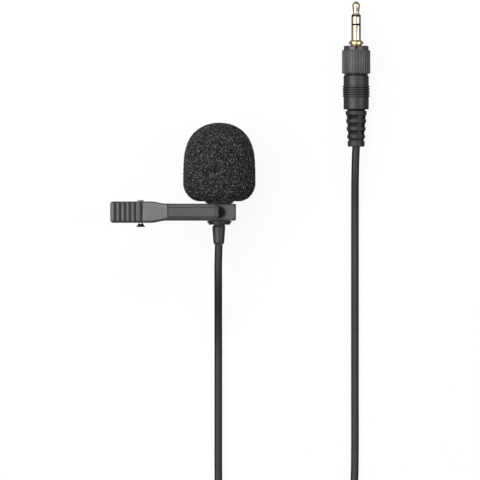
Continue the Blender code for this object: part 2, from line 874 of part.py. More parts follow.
def make_holder():
    """The ring that holds the microphone, and the rivet on which the clip swivels."""
    ring = extruded(
        "holder_ring",
        [ring_outline()],
        -ring_top,
        ring_top,
        location=mic_axis,
        rotation=(math.pi / 2, 0, 0),
        finish="matte_black",
    )
    chamfer_rims(ring, RING_CHAMFER)
    anchor = ring_face_z - RIVET_ANCHOR
    hole = disc(
        "rivet_anchor_hole",
        rivet_hole,
        anchor - SEAT_GAP,
        ring_face_z + OVERLAP,
        SMALL,
        rotation=(0, 0, 0),
    )
    cut(ring, hole)
    cone_end = rivet_head_z - (RIVET_HEAD_RADIUS - RIVET_RADIUS)
    turned(
        "swivel_rivet",
        [
            (0, rivet_head_z),
            (RIVET_HEAD_RADIUS - NEST_GAP, rivet_head_z),
            (RIVET_HEAD_RADIUS, rivet_head_z - NEST_GAP),
            (RIVET_RADIUS, cone_end - NEST_GAP),
            (RIVET_RADIUS, anchor),
            (0, anchor),
        ],
        SMALL,
        rotation=(0, 0, 0),
        finish="satin_black",
    )


def jaw_outline(left, right, grip_half, arm_half, end_corner, tip_corner):
    """Plan outline of a jaw: its grip's rounded end, the flare to the arm, and the rounded tip."""
    flare = []
    for share in np.linspace(0, 1, 6):
        x = FLARE_START + (RAMP_LENGTH - FLARE_START) * share
        blend = (1 + math.cos(math.pi * share)) / 2
        flare.append((x, arm_half + (grip_half - arm_half) * blend))
    side = (
        arc(left + end_corner, grip_half - end_corner, end_corner, 180, 90, 4)
        + flare
        + arc(right - tip_corner, arm_half - tip_corner, tip_corner, 90, 0, 5)
    )
    other = [(x, -y) for x, y in reversed(side) if y > MERGE]
    return side + other


def inset(outline, width_at):
    """The outline drawn in along its normals, by a width that follows x."""
    count = len(outline)
    drawn = []
    for i, (x, y) in enumerate(outline):
        before = Vector(outline[i - 1])
        after = Vector(outline[(i + 1) % count])
        tangent = (after - before).normalized()
        inward = Vector((tangent.y, -tangent.x)) * width_at(x)
        drawn.append((x + inward.x, y + inward.y))
    return drawn


def lofted(name, rings, location, finish):
    """A solid through rings of points with equal counts, closed at both ends."""
    shape = bmesh.new()
    rows = [[shape.verts.new(point) for point in ring] for ring in rings]
    for lower, upper in zip(rows, rows[1:]):
        for i in range(len(lower)):
            shape.faces.new((lower[i - 1], lower[i], upper[i], upper[i - 1]))
    shape.faces.new(rows[0])
    shape.faces.new(rows[-1])
    bmesh.ops.recalc_face_normals(shape, faces=shape.faces)
    mesh = bpy.data.meshes.new(name)
    shape.to_mesh(mesh)
    shape.free()
    return add(name, mesh, location, finish=finish)


def profile_of(stops):
    """Height along a jaw, in straight lines between its stops."""
    xs, heights = zip(*sorted(stops))
    return lambda x: float(np.interp(x, xs, heights))


def wave(first, pitch, count, shape):
    """Stops of evenly spaced grooves, whose shape gives (share of the pitch, depth) pairs."""
    return [(first + (n + share) * pitch, depth) for n in range(count) for share, depth in shape]


def make_jaw(name, outline, rim_at, outer, inner, grooves, teeth, side, finish):
    """A jaw's plate, bent to its side profile. Side is 1 for the free jaw and -1 for the rear one.
    Grooves run across the grip's outer face, and teeth across the inner face of the bite."""
    rim_rings = ((0, 0.5), (0.3, 0.85), (1, 1))
    flats = [(outline, 0)]
    for share, height in rim_rings:
        flats.append((inset(outline, lambda x, s=share: s * rim_at(x)), height))
    rings = [[(x, y, level) for x, y in flat] for flat, level in flats]
    jaw = lofted(name, rings, pivot, finish)
    outer_at = profile_of(outer)
    inner_at = profile_of(inner)
    groove_at = profile_of(grooves)
    tooth_at = profile_of(teeth)
    shape = bmesh.new()
    shape.from_mesh(jaw.data)
    stops = sorted({x for stop in (outer, inner, grooves, teeth) for x, _ in stop})
    left = min(x for x, _ in outline)
    right = max(x for x, _ in outline)
    for x in stops:
        if left + MERGE < x < right - MERGE:
            everything = shape.verts[:] + shape.edges[:] + shape.faces[:]
            bmesh.ops.bisect_plane(
                shape, geom=everything, dist=MERGE / 10, plane_co=(x, 0, 0), plane_no=(1, 0, 0)
            )
    levels = [0] + [height for _, height in rim_rings]
    for vert in shape.verts:
        x = vert.co.x
        level = min(levels, key=lambda known: abs(known - vert.co.z))
        top = outer_at(x)
        drops = {0.5: rim_at(x), 0.85: 0.3 * rim_at(x), 1: groove_at(x)}
        height = inner_at(x) + tooth_at(x) if level == 0 else top - drops[level]
        vert.co.z = side * height
    if side < 0:
        bmesh.ops.reverse_faces(shape, faces=shape.faces)
    shape.to_mesh(jaw.data)
    shape.free()
    return jaw


def add_ears(jaw, ear_y, side):
    """Two round-ended ears on a jaw, which carry the pin."""
    base = CREASE_HEIGHT - JAW_WALL + OVERLAP
    outline = [(-EAR_BASE, base)] + arc(0, 0, EAR_RADIUS, 200, 340, 9) + [(EAR_BASE, base)]
    outline = [(x, side * y) for x, y in outline]
    for n, y in enumerate((ear_y, -ear_y)):
        ear = extruded(
            f"{jaw.name}_ear_{n}",
            [outline],
            -EAR_THICKNESS / 2,
            EAR_THICKNESS / 2,
            location=(pivot[0], y, pivot[2]),
            rotation=(math.pi / 2, 0, 0),
        )
        join(jaw, ear)
    reach = GRIP_HALF_WIDTH + OVERLAP
    bore = disc(f"{jaw.name}_pin_hole", pin_hole, -reach, reach, SMALL, location=pivot)
    cut(jaw, bore)


def jaw_grooves():
    """The grip's ridges, as grooves from its end."""
    groove = ((-0.34, 0), (-0.14, RIDGE_DEPTH), (0.14, RIDGE_DEPTH), (0.34, 0))
    return wave(-GRIP_LENGTH + FIRST_GROOVE, RIDGE_PITCH, RIDGE_GROOVES, groove)


def jaw_teeth():
    """The teeth across the bite, back from the free jaw's tip."""
    tooth = ((-0.4, 0), (0, TOOTH_DEPTH), (0.4, 0))
    return wave(tip_x - TEETH * TOOTH_PITCH, TOOTH_PITCH, TEETH, tooth)


def make_front_jaw():
    """The free jaw: a ridged grip, a crease at the pin, a ramp, and the arm down to the tip."""
    outline = jaw_outline(
        -GRIP_LENGTH, tip_x, GRIP_HALF_WIDTH, ARM_HALF_WIDTH, GRIP_CORNER, ARM_TIP_CORNER
    )
    rim_stops = [(0, RIM_GRIP), (RAMP_LENGTH, RIM_ARM)]
    fold_below = FOLD_HEIGHT - RAMP_STEP
    outer = [
        (-GRIP_LENGTH, GRIP_END_HEIGHT),
        (0, CREASE_HEIGHT),
        (RAMP_LENGTH - RAMP_STEP, FOLD_HEIGHT),
        (RAMP_LENGTH, fold_below),
        (tip_x, bite_gap + JAW_WALL),
    ]
    inner = [
        (-GRIP_LENGTH, GRIP_END_HEIGHT - JAW_WALL),
        (0, CREASE_HEIGHT - JAW_WALL),
        (RAMP_LENGTH, FOLD_HEIGHT - JAW_WALL),
        (tip_x - BITE_LENGTH, bite_gap),
        (tip_x, bite_gap),
    ]
    jaw = make_jaw(
        "front_jaw",
        outline,
        profile_of(rim_stops),
        outer,
        inner,
        jaw_grooves(),
        jaw_teeth(),
        1,
        "matte_black",
    )
    add_ears(jaw, near_ear_y, 1)


def make_rear_jaw():
    """The fixed jaw behind the free one, with the eye that turns on the rivet."""
    grip_half = GRIP_HALF_WIDTH - REAR_GRIP_NARROWER
    outline = jaw_outline(
        -GRIP_LENGTH, eye_x, grip_half, EYE_RADIUS, GRIP_CORNER, EYE_RADIUS
    )
    grip_slope = (GRIP_END_HEIGHT - CREASE_HEIGHT) / GRIP_LENGTH
    bite_back = tip_x - BITE_LENGTH
    inner = [
        (-GRIP_LENGTH, CREASE_HEIGHT - JAW_WALL + grip_slope * GRIP_LENGTH),
        (0, CREASE_HEIGHT - JAW_WALL),
        (RAMP_LENGTH, REAR_FOLD_DROP),
        (min(bite_back, rear_flat_x), bite_gap),
        (eye_x, bite_gap),
    ]
    outer = [
        (-GRIP_LENGTH, GRIP_END_HEIGHT),
        (0, CREASE_HEIGHT),
        (RAMP_LENGTH, REAR_FOLD_DROP + REAR_ARM_WALL),
        (min(bite_back, rear_flat_x), bite_gap + REAR_ARM_WALL),
        (eye_x, bite_gap + REAR_ARM_WALL),
    ]
    jaw = make_jaw(
        "rear_jaw",
        outline,
        lambda x: RIM_GRIP / 2,
        outer,
        inner,
        jaw_grooves(),
        jaw_teeth(),
        -1,
        "matte_black",
    )
    add_ears(jaw, far_ear_y, -1)
    cone = RIVET_HEAD_RADIUS - RIVET_RADIUS
    countersink = turned(
        "rivet_countersink",
        [
            (0, rear_bite_z + OVERLAP),
            (RIVET_HEAD_RADIUS + SEAT_GAP + OVERLAP, rear_bite_z + OVERLAP),
            (RIVET_HEAD_RADIUS + TURN_GAP, rivet_head_z - NEST_GAP),
            (rivet_hole, rivet_head_z - cone - 2 * TURN_GAP),
            (rivet_hole, ring_face_z),
            (0, ring_face_z),
        ],
        SMALL,
        rotation=(0, 0, 0),
    )
    cut(jaw, countersink)
    return jaw


def make_pin():
    """The pivot pin through both pairs of ears, and the cap pressed on its end."""
    retainer_face = -pin_head_base
    retainer_end = retainer_face - RETAINER_LENGTH
    pin_end = retainer_end + 2 * SEAT_GAP
    dome = PIN_HEAD_LENGTH / 2
    head_top_y = pin_head_base + PIN_HEAD_LENGTH
    turned(
        "pivot_pin",
        [
            (0, head_top_y),
            (PIN_HEAD_RADIUS - dome, head_top_y),
            (PIN_HEAD_RADIUS, head_top_y - dome),
            (PIN_HEAD_RADIUS, pin_head_base),
            (PIN_RADIUS, pin_head_base),
            (PIN_RADIUS, pin_end),
            (0, pin_end),
        ],
        SMALL,
        location=pivot,
        finish="steel",
    )
    bore = PIN_RADIUS + NEST_GAP
    floor = pin_end - NEST_GAP
    flare = retainer_face - RETAINER_LENGTH / 2
    turned(
        "pin_retainer",
        [
            (0, floor),
            (bore, floor),
            (bore, retainer_face),
            (RETAINER_NECK_RADIUS, retainer_face),
            (RETAINER_NECK_RADIUS, flare),
            (RETAINER_RADIUS, retainer_end + NEST_GAP * 2),
            (RETAINER_RADIUS, retainer_end),
            (0, retainer_end),
        ],
        SMALL,
        location=pivot,
        finish="satin_black",
    )


def spring_points():
    """The torsion spring: a leg along the free grip, its turns, and a leg along the rear grip."""
    coil_radius = PIN_RADIUS + SEAT_GAP + SPRING_WIRE_RADIUS
    turns = SPRING_TURNS + 0.5
    width = SPRING_PITCH * turns
    grip_slope = (GRIP_END_HEIGHT - CREASE_HEIGHT) / GRIP_LENGTH
    grip_face = CREASE_HEIGHT - JAW_WALL + grip_slope * SPRING_LEG
    leg_end = grip_face - SEAT_GAP - SPRING_WIRE_RADIUS
    points = [Vector((-SPRING_LEG, -width / 2, leg_end))]
    steps = round(10 * turns)
    for step in range(steps + 1):
        turned_by = 2 * math.pi * turns * step / steps
        points.append(
            Vector(
                (
                    coil_radius * math.sin(turned_by),
                    -width / 2 + width * step / steps,
                    coil_radius * math.cos(turned_by),
                )
            )
        )
    points.append(Vector((-SPRING_LEG, width / 2, -leg_end)))
    return points


def make_spring():
    """The spring round the pin that closes the jaws."""
    points = spring_points()
    gap = least_gap(points[1:-1], SPRING_WIRE_RADIUS, 5)
    print(f"jaw_spring: least gap between its turns {gap * 1000:.2f} mm")
    placed = [point + Vector(pivot) for point in points]
    wire("jaw_spring", placed, SPRING_WIRE_RADIUS, 1, "steel")


# ---- Plug -------------------------------------------------------------------------------------

plug_axis = (PLUG_X, 0, plug_z)


def contact(name, bore, radius, rear, seat, ring_radius_at, front, finish):
    """A contact or insulator of the pin: a long tube behind its visible ring."""
    profile = [
        (bore, front),
        (ring_radius_at, front),
        (ring_radius_at, seat),
        (radius, seat),
        (radius, rear),
        (bore, rear),
    ]
    return turned(name, profile, SMALL, location=plug_axis, finish=finish)


def make_contacts():
    """The pin's tip, ring and sleeve, each inside the next with an insulator between."""
    waist = tip_base + TIP_LENGTH * TIP_WAIST_AT
    bulb = tip_base + TIP_LENGTH * TIP_BULB_AT
    rise = TIP_LENGTH * 0.04
    turned(
        "plug_tip",
        [
            (0, tip_top),
            (TIP_BULB_RADIUS * 0.35, tip_top),
            (TIP_BULB_RADIUS * 0.75, tip_top - 3 * rise),
            (TIP_BULB_RADIUS, bulb + 2 * rise),
            (TIP_BULB_RADIUS, bulb - rise),
            (TIP_WAIST_RADIUS, waist + rise),
            (TIP_WAIST_RADIUS, waist),
            (TIP_BASE_RADIUS, tip_base + NEST_GAP),
            (TIP_BASE_RADIUS, tip_base),
            (TIP_ROD_RADIUS, tip_base),
            (TIP_ROD_RADIUS, tip_rod_end),
            (0, tip_rod_end),
        ],
        SMALL,
        location=plug_axis,
        finish="gold",
    )
    contact(
        "tip_insulator",
        tip_insulator_bore,
        tip_insulator_radius,
        tip_insulator_end,
        ring_contact_top + NEST_GAP,
        insulator_radius,
        tip_base - NEST_GAP,
        "satin_black",
    )
    contact(
        "ring_contact",
        ring_contact_bore,
        ring_contact_radius,
        ring_contact_end,
        ring_contact_base + NEST_GAP,
        pin_radius,
        ring_contact_top - NEST_GAP,
        "gold",
    )
    contact(
        "ring_insulator",
        ring_insulator_bore,
        ring_insulator_radius,
        ring_insulator_end,
        sleeve_top + NEST_GAP,
        insulator_radius,
        ring_contact_base - NEST_GAP,
        "satin_black",
    )
    turned(
        "sleeve_contact",
        [
            (sleeve_bore, sleeve_top),
            (pin_radius, sleeve_top),
            (pin_radius, sleeve_base),
            (FLANGE_RADIUS - NEST_GAP, flange_top),
            (FLANGE_RADIUS, flange_top - NEST_GAP),
            (FLANGE_RADIUS, flange_base),
            (SHANK_RADIUS, flange_base),
            (SHANK_RADIUS, shank_end),
            (sleeve_bore, shank_end),
        ],
        SMALL,
        location=plug_axis,
        finish="gold",
    )


def make_hub():
    """The hub on which the locking collar turns, and the ring that retains the collar."""
    turned(
        "collar_hub",
        [
            (hub_bore, hub_front),
            (HUB_NECK_RADIUS, hub_front),
            (HUB_NECK_RADIUS, retaining_top + NEST_GAP),
            (retaining_inner, retaining_top + NEST_GAP),
            (retaining_inner, retaining_base - NEST_GAP),
            (HUB_NECK_RADIUS, retaining_base - NEST_GAP),
            (HUB_NECK_RADIUS, hub_flange_top),
            (hub_radius + HUB_FLANGE_STEP, hub_flange_top),
            (hub_radius + HUB_FLANGE_STEP, hub_flange_base),
            (hub_radius, hub_flange_base),
            (hub_radius, hub_rear),
            (hub_bore, hub_rear),
        ],
        ROUND,
        location=plug_axis,
        finish="black_metal",
    )
    tube(
        "collar_retainer",
        retaining_inner + NEST_GAP,
        (HUB_NECK_RADIUS + COLLAR_BORE_RADIUS) / 2 + NEST_GAP,
        retaining_base,
        retaining_top,
        ROUND,
        location=plug_axis,
        finish="steel",
    )


def rib_ring(radius, height):
    """A ring of points along the collar's ribbed edge, at a height on its axis."""
    points = []
    root = radius - RIB_DEPTH
    for n in range(COLLAR_RIBS):
        for share, distance in ((0, radius), (0.5, radius), (0.75, root)):
            turn = 2 * math.pi * (n + share) / COLLAR_RIBS
            points.append((distance * math.cos(turn), distance * math.sin(turn), height))
    return points


def make_collar():
    """The ribbed locking collar, with its notched nose and the lip that turns on the hub."""
    narrow = COLLAR_RADIUS - COLLAR_CHAMFER
    rings = [
        rib_ring(narrow, collar_base),
        rib_ring(COLLAR_RADIUS, collar_base + COLLAR_CHAMFER),
        rib_ring(COLLAR_RADIUS, collar_step - COLLAR_CHAMFER),
        rib_ring(narrow, collar_step),
    ]
    collar = lofted("locking_collar", rings, plug_axis, "black_metal")
    collar.rotation_euler = ALONG_Y
    nose = disc(
        "collar_nose", nose_radius, collar_step - OVERLAP, collar_nose, ROUND, location=plug_axis
    )
    join(collar, nose)
    bore = turned(
        "collar_bore",
        [
            (0, collar_nose + OVERLAP),
            (COLLAR_BORE_RADIUS, collar_nose + OVERLAP),
            (COLLAR_BORE_RADIUS, lip_top),
            (HUB_NECK_RADIUS + TURN_GAP, lip_top),
            (HUB_NECK_RADIUS + TURN_GAP, collar_base - OVERLAP),
            (0, collar_base - OVERLAP),
        ],
        ROUND,
        location=plug_axis,
    )
    cut(collar, bore)
    length = NOSE_LENGTH - OVERLAP
    for n in range(NOSE_NOTCHES):
        turn = 2 * math.pi * n / NOSE_NOTCHES
        reach = nose_radius - NOTCH_DEPTH / 2 + OVERLAP / 2
        notch = box(
            f"nose_notch_{n}",
            (NOTCH_WIDTH, length, NOTCH_DEPTH + OVERLAP),
            (
                PLUG_X + reach * math.sin(turn),
                collar_nose - length / 2 + OVERLAP,
                plug_z + reach * math.cos(turn),
            ),
            (0, turn, 0),
        )
        cut(collar, notch)


def make_barrel():
    """The barrel behind the collar, with its raised, grooved band."""
    raised = BARREL_RADIUS + BAND_RAISE
    first = barrel_rear + BAND_START
    half = BAND_GROOVE_WIDTH / 2
    band = []
    for n in reversed(range(BAND_GROOVES)):
        middle = first + n * BAND_PITCH
        upper = BARREL_RADIUS if n == BAND_GROOVES - 1 else raised
        lower = BARREL_RADIUS if n == 0 else raised
        floor = BARREL_RADIUS - BAND_RAISE / 3
        band += [(upper, middle + half), (floor, middle), (lower, middle - half)]
    wall_top = barrel_rear + BARREL_END_WALL
    turned(
        "plug_barrel",
        [
            (barrel_bore, barrel_front),
            (BARREL_RADIUS - BARREL_CHAMFER, barrel_front),
            (BARREL_RADIUS, barrel_front - BARREL_CHAMFER),
            *band,
            (BARREL_RADIUS, barrel_rear + BARREL_CHAMFER),
            (BARREL_RADIUS - BARREL_CHAMFER, barrel_rear),
            (boot_neck_radius + TURN_GAP, barrel_rear),
            (boot_neck_radius + TURN_GAP, wall_top),
            (barrel_bore, wall_top),
        ],
        ROUND,
        location=plug_axis,
        finish="satin_black",
    )


def make_boot():
    """The flexible boot: rings joined by four webs, with windows between them."""
    outline = [
        (cable_bore, boot_flange_top),
        (barrel_bore - SEAT_GAP, boot_flange_top),
        (barrel_bore - SEAT_GAP, boot_flange_base),
        (boot_neck_radius, boot_flange_base),
        (boot_neck_radius, boot_top),
    ]
    for n in reversed(range(BOOT_RINGS)):
        radius = BOOT_END_RADIUS + n * BOOT_TAPER
        low = PLUG_EXIT_Y + n * BOOT_PITCH
        outline += [(radius, low + BOOT_RING_LENGTH), (radius, low)]
        if n:
            core = radius - BOOT_GROOVE_DEPTH
            outline += [(core, low), (core - BOOT_TAPER, low - BOOT_PITCH + BOOT_RING_LENGTH)]
    outline.append((cable_bore, PLUG_EXIT_Y))
    boot = turned("plug_boot", outline, ROUND, location=plug_axis, finish="black_rubber")
    height = BOOT_PITCH - BOOT_RING_LENGTH - 2 * BOOT_WINDOW_MARGIN
    half = BOOT_WINDOW_WIDTH / 2
    far = BOOT_END_RADIUS + BOOT_RINGS * BOOT_TAPER
    sides = []
    for quarter in range(4):
        turn = Matrix.Rotation(quarter * math.pi / 2, 2)
        corners = ((-half, boot_core_radius), (half, boot_core_radius), (half, far), (-half, far))
        sides.append([tuple(turn @ Vector(corner)) for corner in corners])
    for n in range(BOOT_RINGS - 1):
        low = PLUG_EXIT_Y + n * BOOT_PITCH + BOOT_RING_LENGTH + BOOT_WINDOW_MARGIN
        window = extruded(
            f"boot_window_{n}",
            sides,
            low,
            low + height,
            location=plug_axis,
            rotation=(-math.pi / 2, BOOT_WINDOW_TURN, 0),
        )
        cut(boot, window)


def make_plug_wiring():
    """The cable's end in the plug, its clamp, the terminals and the leads soldered to them."""
    disc(
        "plug_cable_end",
        CORD_RADIUS,
        PLUG_EXIT_Y,
        plug_cable_top,
        TINY,
        location=plug_axis,
        finish="black_rubber",
    )
    clamp = tube(
        "cable_clamp",
        cable_bore,
        cable_bore + CLAMP_WALL,
        clamp_base,
        clamp_top,
        SMALL,
        location=plug_axis,
        finish="brass",
    )
    tongue_top = hub_rear - SEAT_GAP
    tongue = box(
        "clamp_tongue",
        (CORD_RADIUS, tongue_top - clamp_base, CLAMP_WALL),
        (PLUG_X, (clamp_base + tongue_top) / 2, plug_z - (hub_bore + hub_radius) / 2),
    )
    spoke = box(
        "clamp_spoke",
        (CORD_RADIUS, CLAMP_LENGTH / 2, (hub_bore + hub_radius) / 2 - CORD_RADIUS),
        (
            PLUG_X,
            clamp_base + CLAMP_LENGTH / 2,
            plug_z - (cable_bore + CLAMP_WALL / 2 + (hub_bore + hub_radius) / 2) / 2,
        ),
    )
    join(clamp, tongue)
    join(clamp, spoke)
    disc(
        "tip_terminal",
        TIP_TERMINAL_RADIUS,
        tip_terminal_rear,
        tip_terminal_rear + TERMINAL_THICKNESS,
        TINY,
        location=plug_axis,
        finish="brass",
    )
    tube(
        "ring_terminal",
        ring_contact_bore,
        ring_contact_bore + RING_TERMINAL_WIDTH,
        ring_terminal_rear,
        ring_terminal_rear + TERMINAL_THICKNESS,
        TINY,
        location=plug_axis,
        finish="brass",
    )
    low = plug_cable_top + SEAT_GAP
    joint_x = ring_contact_bore + RING_TERMINAL_WIDTH / 2
    targets = (
        ("plug_signal_lead", 0.0, tip_terminal_rear, 0, "red_sheath"),
        ("plug_bias_lead", CORD_RADIUS * 0.6, ring_terminal_rear, joint_x, "white_sheath"),
    )
    for name, start, terminal, end, finish in targets:
        high = terminal - SEAT_GAP
        lift = (high - low) / 3
        route = [
            (PLUG_X + start, low, plug_z),
            (PLUG_X + start, low + lift, plug_z),
            (PLUG_X + end, high - lift, plug_z),
            (PLUG_X + end, high, plug_z),
        ]
        wire(name, smooth_route(route, 3 * LEAD_RADIUS), LEAD_RADIUS, 1, finish)


# ---- Cord -------------------------------------------------------------------------------------


def coil_points():
    """The coil: it spirals in on the surface, climbs, and spirals out on top of itself."""
    layer = COIL_TURNS_PER_LAYER
    total = 2 * layer + 0.5
    points = [coil_in]
    steps = round(COIL_POINTS * total)
    for step in range(steps + 1):
        turn = total * step / steps
        turning = min(turn, total - turn)
        radius = coil_outer - COIL_SPACING * turning
        share = min(max((turn - layer) / 0.5, 0), 1)
        height = coil_low + (coil_high - coil_low) * share**2 * (3 - 2 * share)
        angle = math.pi + 2 * math.pi * turn
        points.append(
            Vector((COIL_X + radius * math.cos(angle), COIL_Y + radius * math.sin(angle), height))
        )
    points.append(coil_out)
    return points


def make_cord():
    """The cord from the strain relief to the coil, the coil, and the cord on to the plug."""
    mic_exit = Vector((0, relief_base - SEAT_GAP, axis_height))
    plug_exit = Vector((PLUG_X, PLUG_EXIT_Y - SEAT_GAP, plug_z))
    mic_run = cord_route(mic_exit, MIC_RUN_ROUTE, coil_in + end_gap)
    plug_run = cord_route(plug_exit, PLUG_RUN_ROUTE, coil_out + end_gap)
    turns = coil_points()
    wire("cord_mic_run", mic_run, CORD_RADIUS, 2, "black_rubber")
    wire("cord_plug_run", plug_run, CORD_RADIUS, 2, "black_rubber")
    wire("cord_coil", turns, CORD_RADIUS, 1, "black_rubber")
    gap = least_gap(turns, CORD_RADIUS, COIL_POINTS // 2)
    print(f"cord_coil: least gap between its turns {gap * 1000:.2f} mm")
    lengths = [
        sum((b - a).length for a, b in zip(line, line[1:])) for line in (mic_run, turns, plug_run)
    ]
    print(f"cord: {sum(lengths) * 1000:.0f} mm in all, {[round(x * 1000) for x in lengths]}")


def make_tie():
    """The strap round the coil's turns, at the side away from the microphone."""
    room = CORD_RADIUS + SEAT_GAP
    near = coil_inner + COIL_SPACING / 4 - room
    far = coil_outer - COIL_SPACING / 4 + room
    inner = rounded_box(near, far, coil_low - room, coil_high + room, room)
    thick = TIE_THICKNESS
    outer = rounded_box(
        near - thick, far + thick, coil_low - room - thick, coil_high + room + thick, room + thick
    )
    extruded(
        "coil_tie",
        [outer, inner],
        -TIE_WIDTH / 2,
        TIE_WIDTH / 2,
        location=(COIL_X, COIL_Y, 0),
        rotation=(math.pi / 2, 0, -math.pi / 2),
        finish="black_rubber",
    )


def rounded_box(left, right, low, high, corner):
    """A rounded rectangle's outline."""
    return (
        arc(right - corner, low + corner, corner, -90, 0, 4)
        + arc(right - corner, high - corner, corner, 0, 90, 4)
        + arc(left + corner, high - corner, corner, 90, 180, 4)
        + arc(left + corner, low + corner, corner, 180, 270, 4)
    )


make_housing()
make_grille()
make_capsule()
make_mic_leads()
make_end_cap()
make_cable_entry()
make_windscreen()
make_holder()
make_front_jaw()
make_rear_jaw()
make_pin()
make_spring()
make_contacts()
make_hub()
make_collar()
make_barrel()
make_boot()
make_plug_wiring()
make_cord()
make_tie()
finish_pieces()
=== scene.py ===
"""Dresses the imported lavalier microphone: fine meshes, materials, floor, light and camera.

Lengths are in millimetres until a mesh is made. Pieces are placed from one of five points: MIC,
the middle of the holder ring on the microphone's axis; GROUND, on the surface below it; SWIVEL, on
the ring's flat front; PIVOT, on the jaw's pin; and PLUG, on the plug's axis beside MIC.
"""

import json
import math

import bmesh
import bpy
import numpy as np
from mathutils import Matrix, Vector, kdtree, noise


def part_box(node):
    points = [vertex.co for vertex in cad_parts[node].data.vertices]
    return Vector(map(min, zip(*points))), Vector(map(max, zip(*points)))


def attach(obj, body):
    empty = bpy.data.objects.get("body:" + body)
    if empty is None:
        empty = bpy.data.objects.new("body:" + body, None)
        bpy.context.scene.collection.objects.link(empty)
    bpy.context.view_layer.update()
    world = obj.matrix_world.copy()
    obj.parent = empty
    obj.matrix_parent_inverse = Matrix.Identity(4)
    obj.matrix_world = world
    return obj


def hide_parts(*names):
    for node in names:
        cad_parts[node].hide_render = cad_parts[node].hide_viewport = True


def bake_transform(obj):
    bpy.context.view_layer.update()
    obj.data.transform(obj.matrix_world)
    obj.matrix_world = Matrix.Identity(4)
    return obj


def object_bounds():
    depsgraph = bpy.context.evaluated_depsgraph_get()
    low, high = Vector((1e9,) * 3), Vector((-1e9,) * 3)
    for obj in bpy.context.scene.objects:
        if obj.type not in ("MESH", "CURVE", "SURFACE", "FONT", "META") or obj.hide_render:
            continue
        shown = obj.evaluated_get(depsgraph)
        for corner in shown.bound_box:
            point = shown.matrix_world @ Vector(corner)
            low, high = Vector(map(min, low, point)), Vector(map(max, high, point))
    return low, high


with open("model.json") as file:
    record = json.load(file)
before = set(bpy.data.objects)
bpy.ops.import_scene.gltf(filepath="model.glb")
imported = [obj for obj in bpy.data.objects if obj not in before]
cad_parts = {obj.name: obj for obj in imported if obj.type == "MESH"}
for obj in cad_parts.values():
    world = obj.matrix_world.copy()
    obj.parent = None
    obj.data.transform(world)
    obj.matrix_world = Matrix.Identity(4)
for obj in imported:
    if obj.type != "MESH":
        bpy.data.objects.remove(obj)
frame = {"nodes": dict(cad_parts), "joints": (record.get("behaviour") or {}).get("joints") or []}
cad_low, cad_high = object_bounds()

MM = 0.001
joints = {joint["name"]: joint for joint in frame["joints"]}
mic_x, mic_y, mic_z = (c / MM for c in joints["holder_turn"]["pos_m"])
plug_x, _, plug_z = (c / MM for c in joints["collar_turn"]["pos_m"])
pivot_x, _, pivot_z = (c / MM for c in joints["jaw_pivot"]["pos_m"])
front_z = joints["clip_swivel"]["pos_m"][2] / MM

MIC = Vector((mic_x, mic_y, mic_z))
GROUND = Vector((mic_x, mic_y, 0))
SWIVEL = Vector((mic_x, mic_y, front_z))
PIVOT = Vector((pivot_x, mic_y, pivot_z))
PLUG = Vector((plug_x, mic_y, plug_z))

SEAT_GAP = 0.3  # between pieces that rest on or beside each other
TURN_GAP = 0.08  # round a waist or hub, and between screwed pieces
NEST_GAP = 0.06  # between the plug's nested contacts, and round a pin's end


def span(node, origin):
    """A node's lowest and highest y, from an origin, in millimetres."""
    low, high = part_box(node)
    return low.y / MM - origin.y, high.y / MM - origin.y


def radius_of(node):
    """Half a turned node's width."""
    low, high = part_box(node)
    return (high.x - low.x) / 2 / MM


# ---- Camera ----

VIEW_CENTRE = (7.54, -10.13)  # from the ring's middle
VIEW_WIDTH = 175.2
VIEW_PLANE = 11.0
LENS = 800
SENSOR = 36

camera = bpy.data.objects.new("camera", bpy.data.cameras.new("camera"))
bpy.context.scene.collection.objects.link(camera)
camera.data.lens = LENS
camera.data.sensor_width = SENSOR
distance = VIEW_WIDTH / 2 / (SENSOR / 2 / LENS)
camera.location = Vector(
    (mic_x + VIEW_CENTRE[0], mic_y + VIEW_CENTRE[1], VIEW_PLANE + distance)
) * MM
camera.data.clip_start = 0.01
camera.data.clip_end = 60
bpy.context.scene.camera = camera
bpy.context.scene.view_settings.view_transform = "Standard"


# ---- Materials ----


class Nodes:
    """Short calls for making the nodes of a material or a world."""

    def __init__(self, owner):
        owner.use_nodes = True
        self.tree = owner.node_tree

    def put(self, socket, value):
        """Links a socket to another one, or sets its value."""
        if isinstance(value, bpy.types.NodeSocket):
            self.tree.links.new(value, socket)
        else:
            socket.default_value = (*value, 1) if socket.type == "RGBA" else value

    def add(self, kind, values=(), **settings):
        node = self.tree.nodes.new(kind)
        for key, value in settings.items():
            setattr(node, key, value)
        for key, value in dict(values).items():
            self.put(node.inputs[key], value)
        return node

    def maths(self, operation, a, b):
        return self.add("ShaderNodeMath", {0: a, 1: b}, operation=operation).outputs[0]

    def show_white(self, camera_share, mirror_share, plain, white, output):
        """Shows the white shader to the camera and in reflections, and the plain one elsewhere."""
        rays = self.add("ShaderNodeLightPath").outputs
        mirrored = self.maths("MAXIMUM", rays["Is Glossy Ray"], rays["Is Transmission Ray"])
        seen = self.maths("MULTIPLY", rays["Is Camera Ray"], camera_share)
        seen = self.maths("ADD", seen, self.maths("MULTIPLY", mirrored, mirror_share))
        values = {0: seen, 1: plain.outputs[0], 2: white.outputs[0]}
        blend = self.add("ShaderNodeMixShader", values)
        self.put(output.inputs["Surface"], blend.outputs[0])


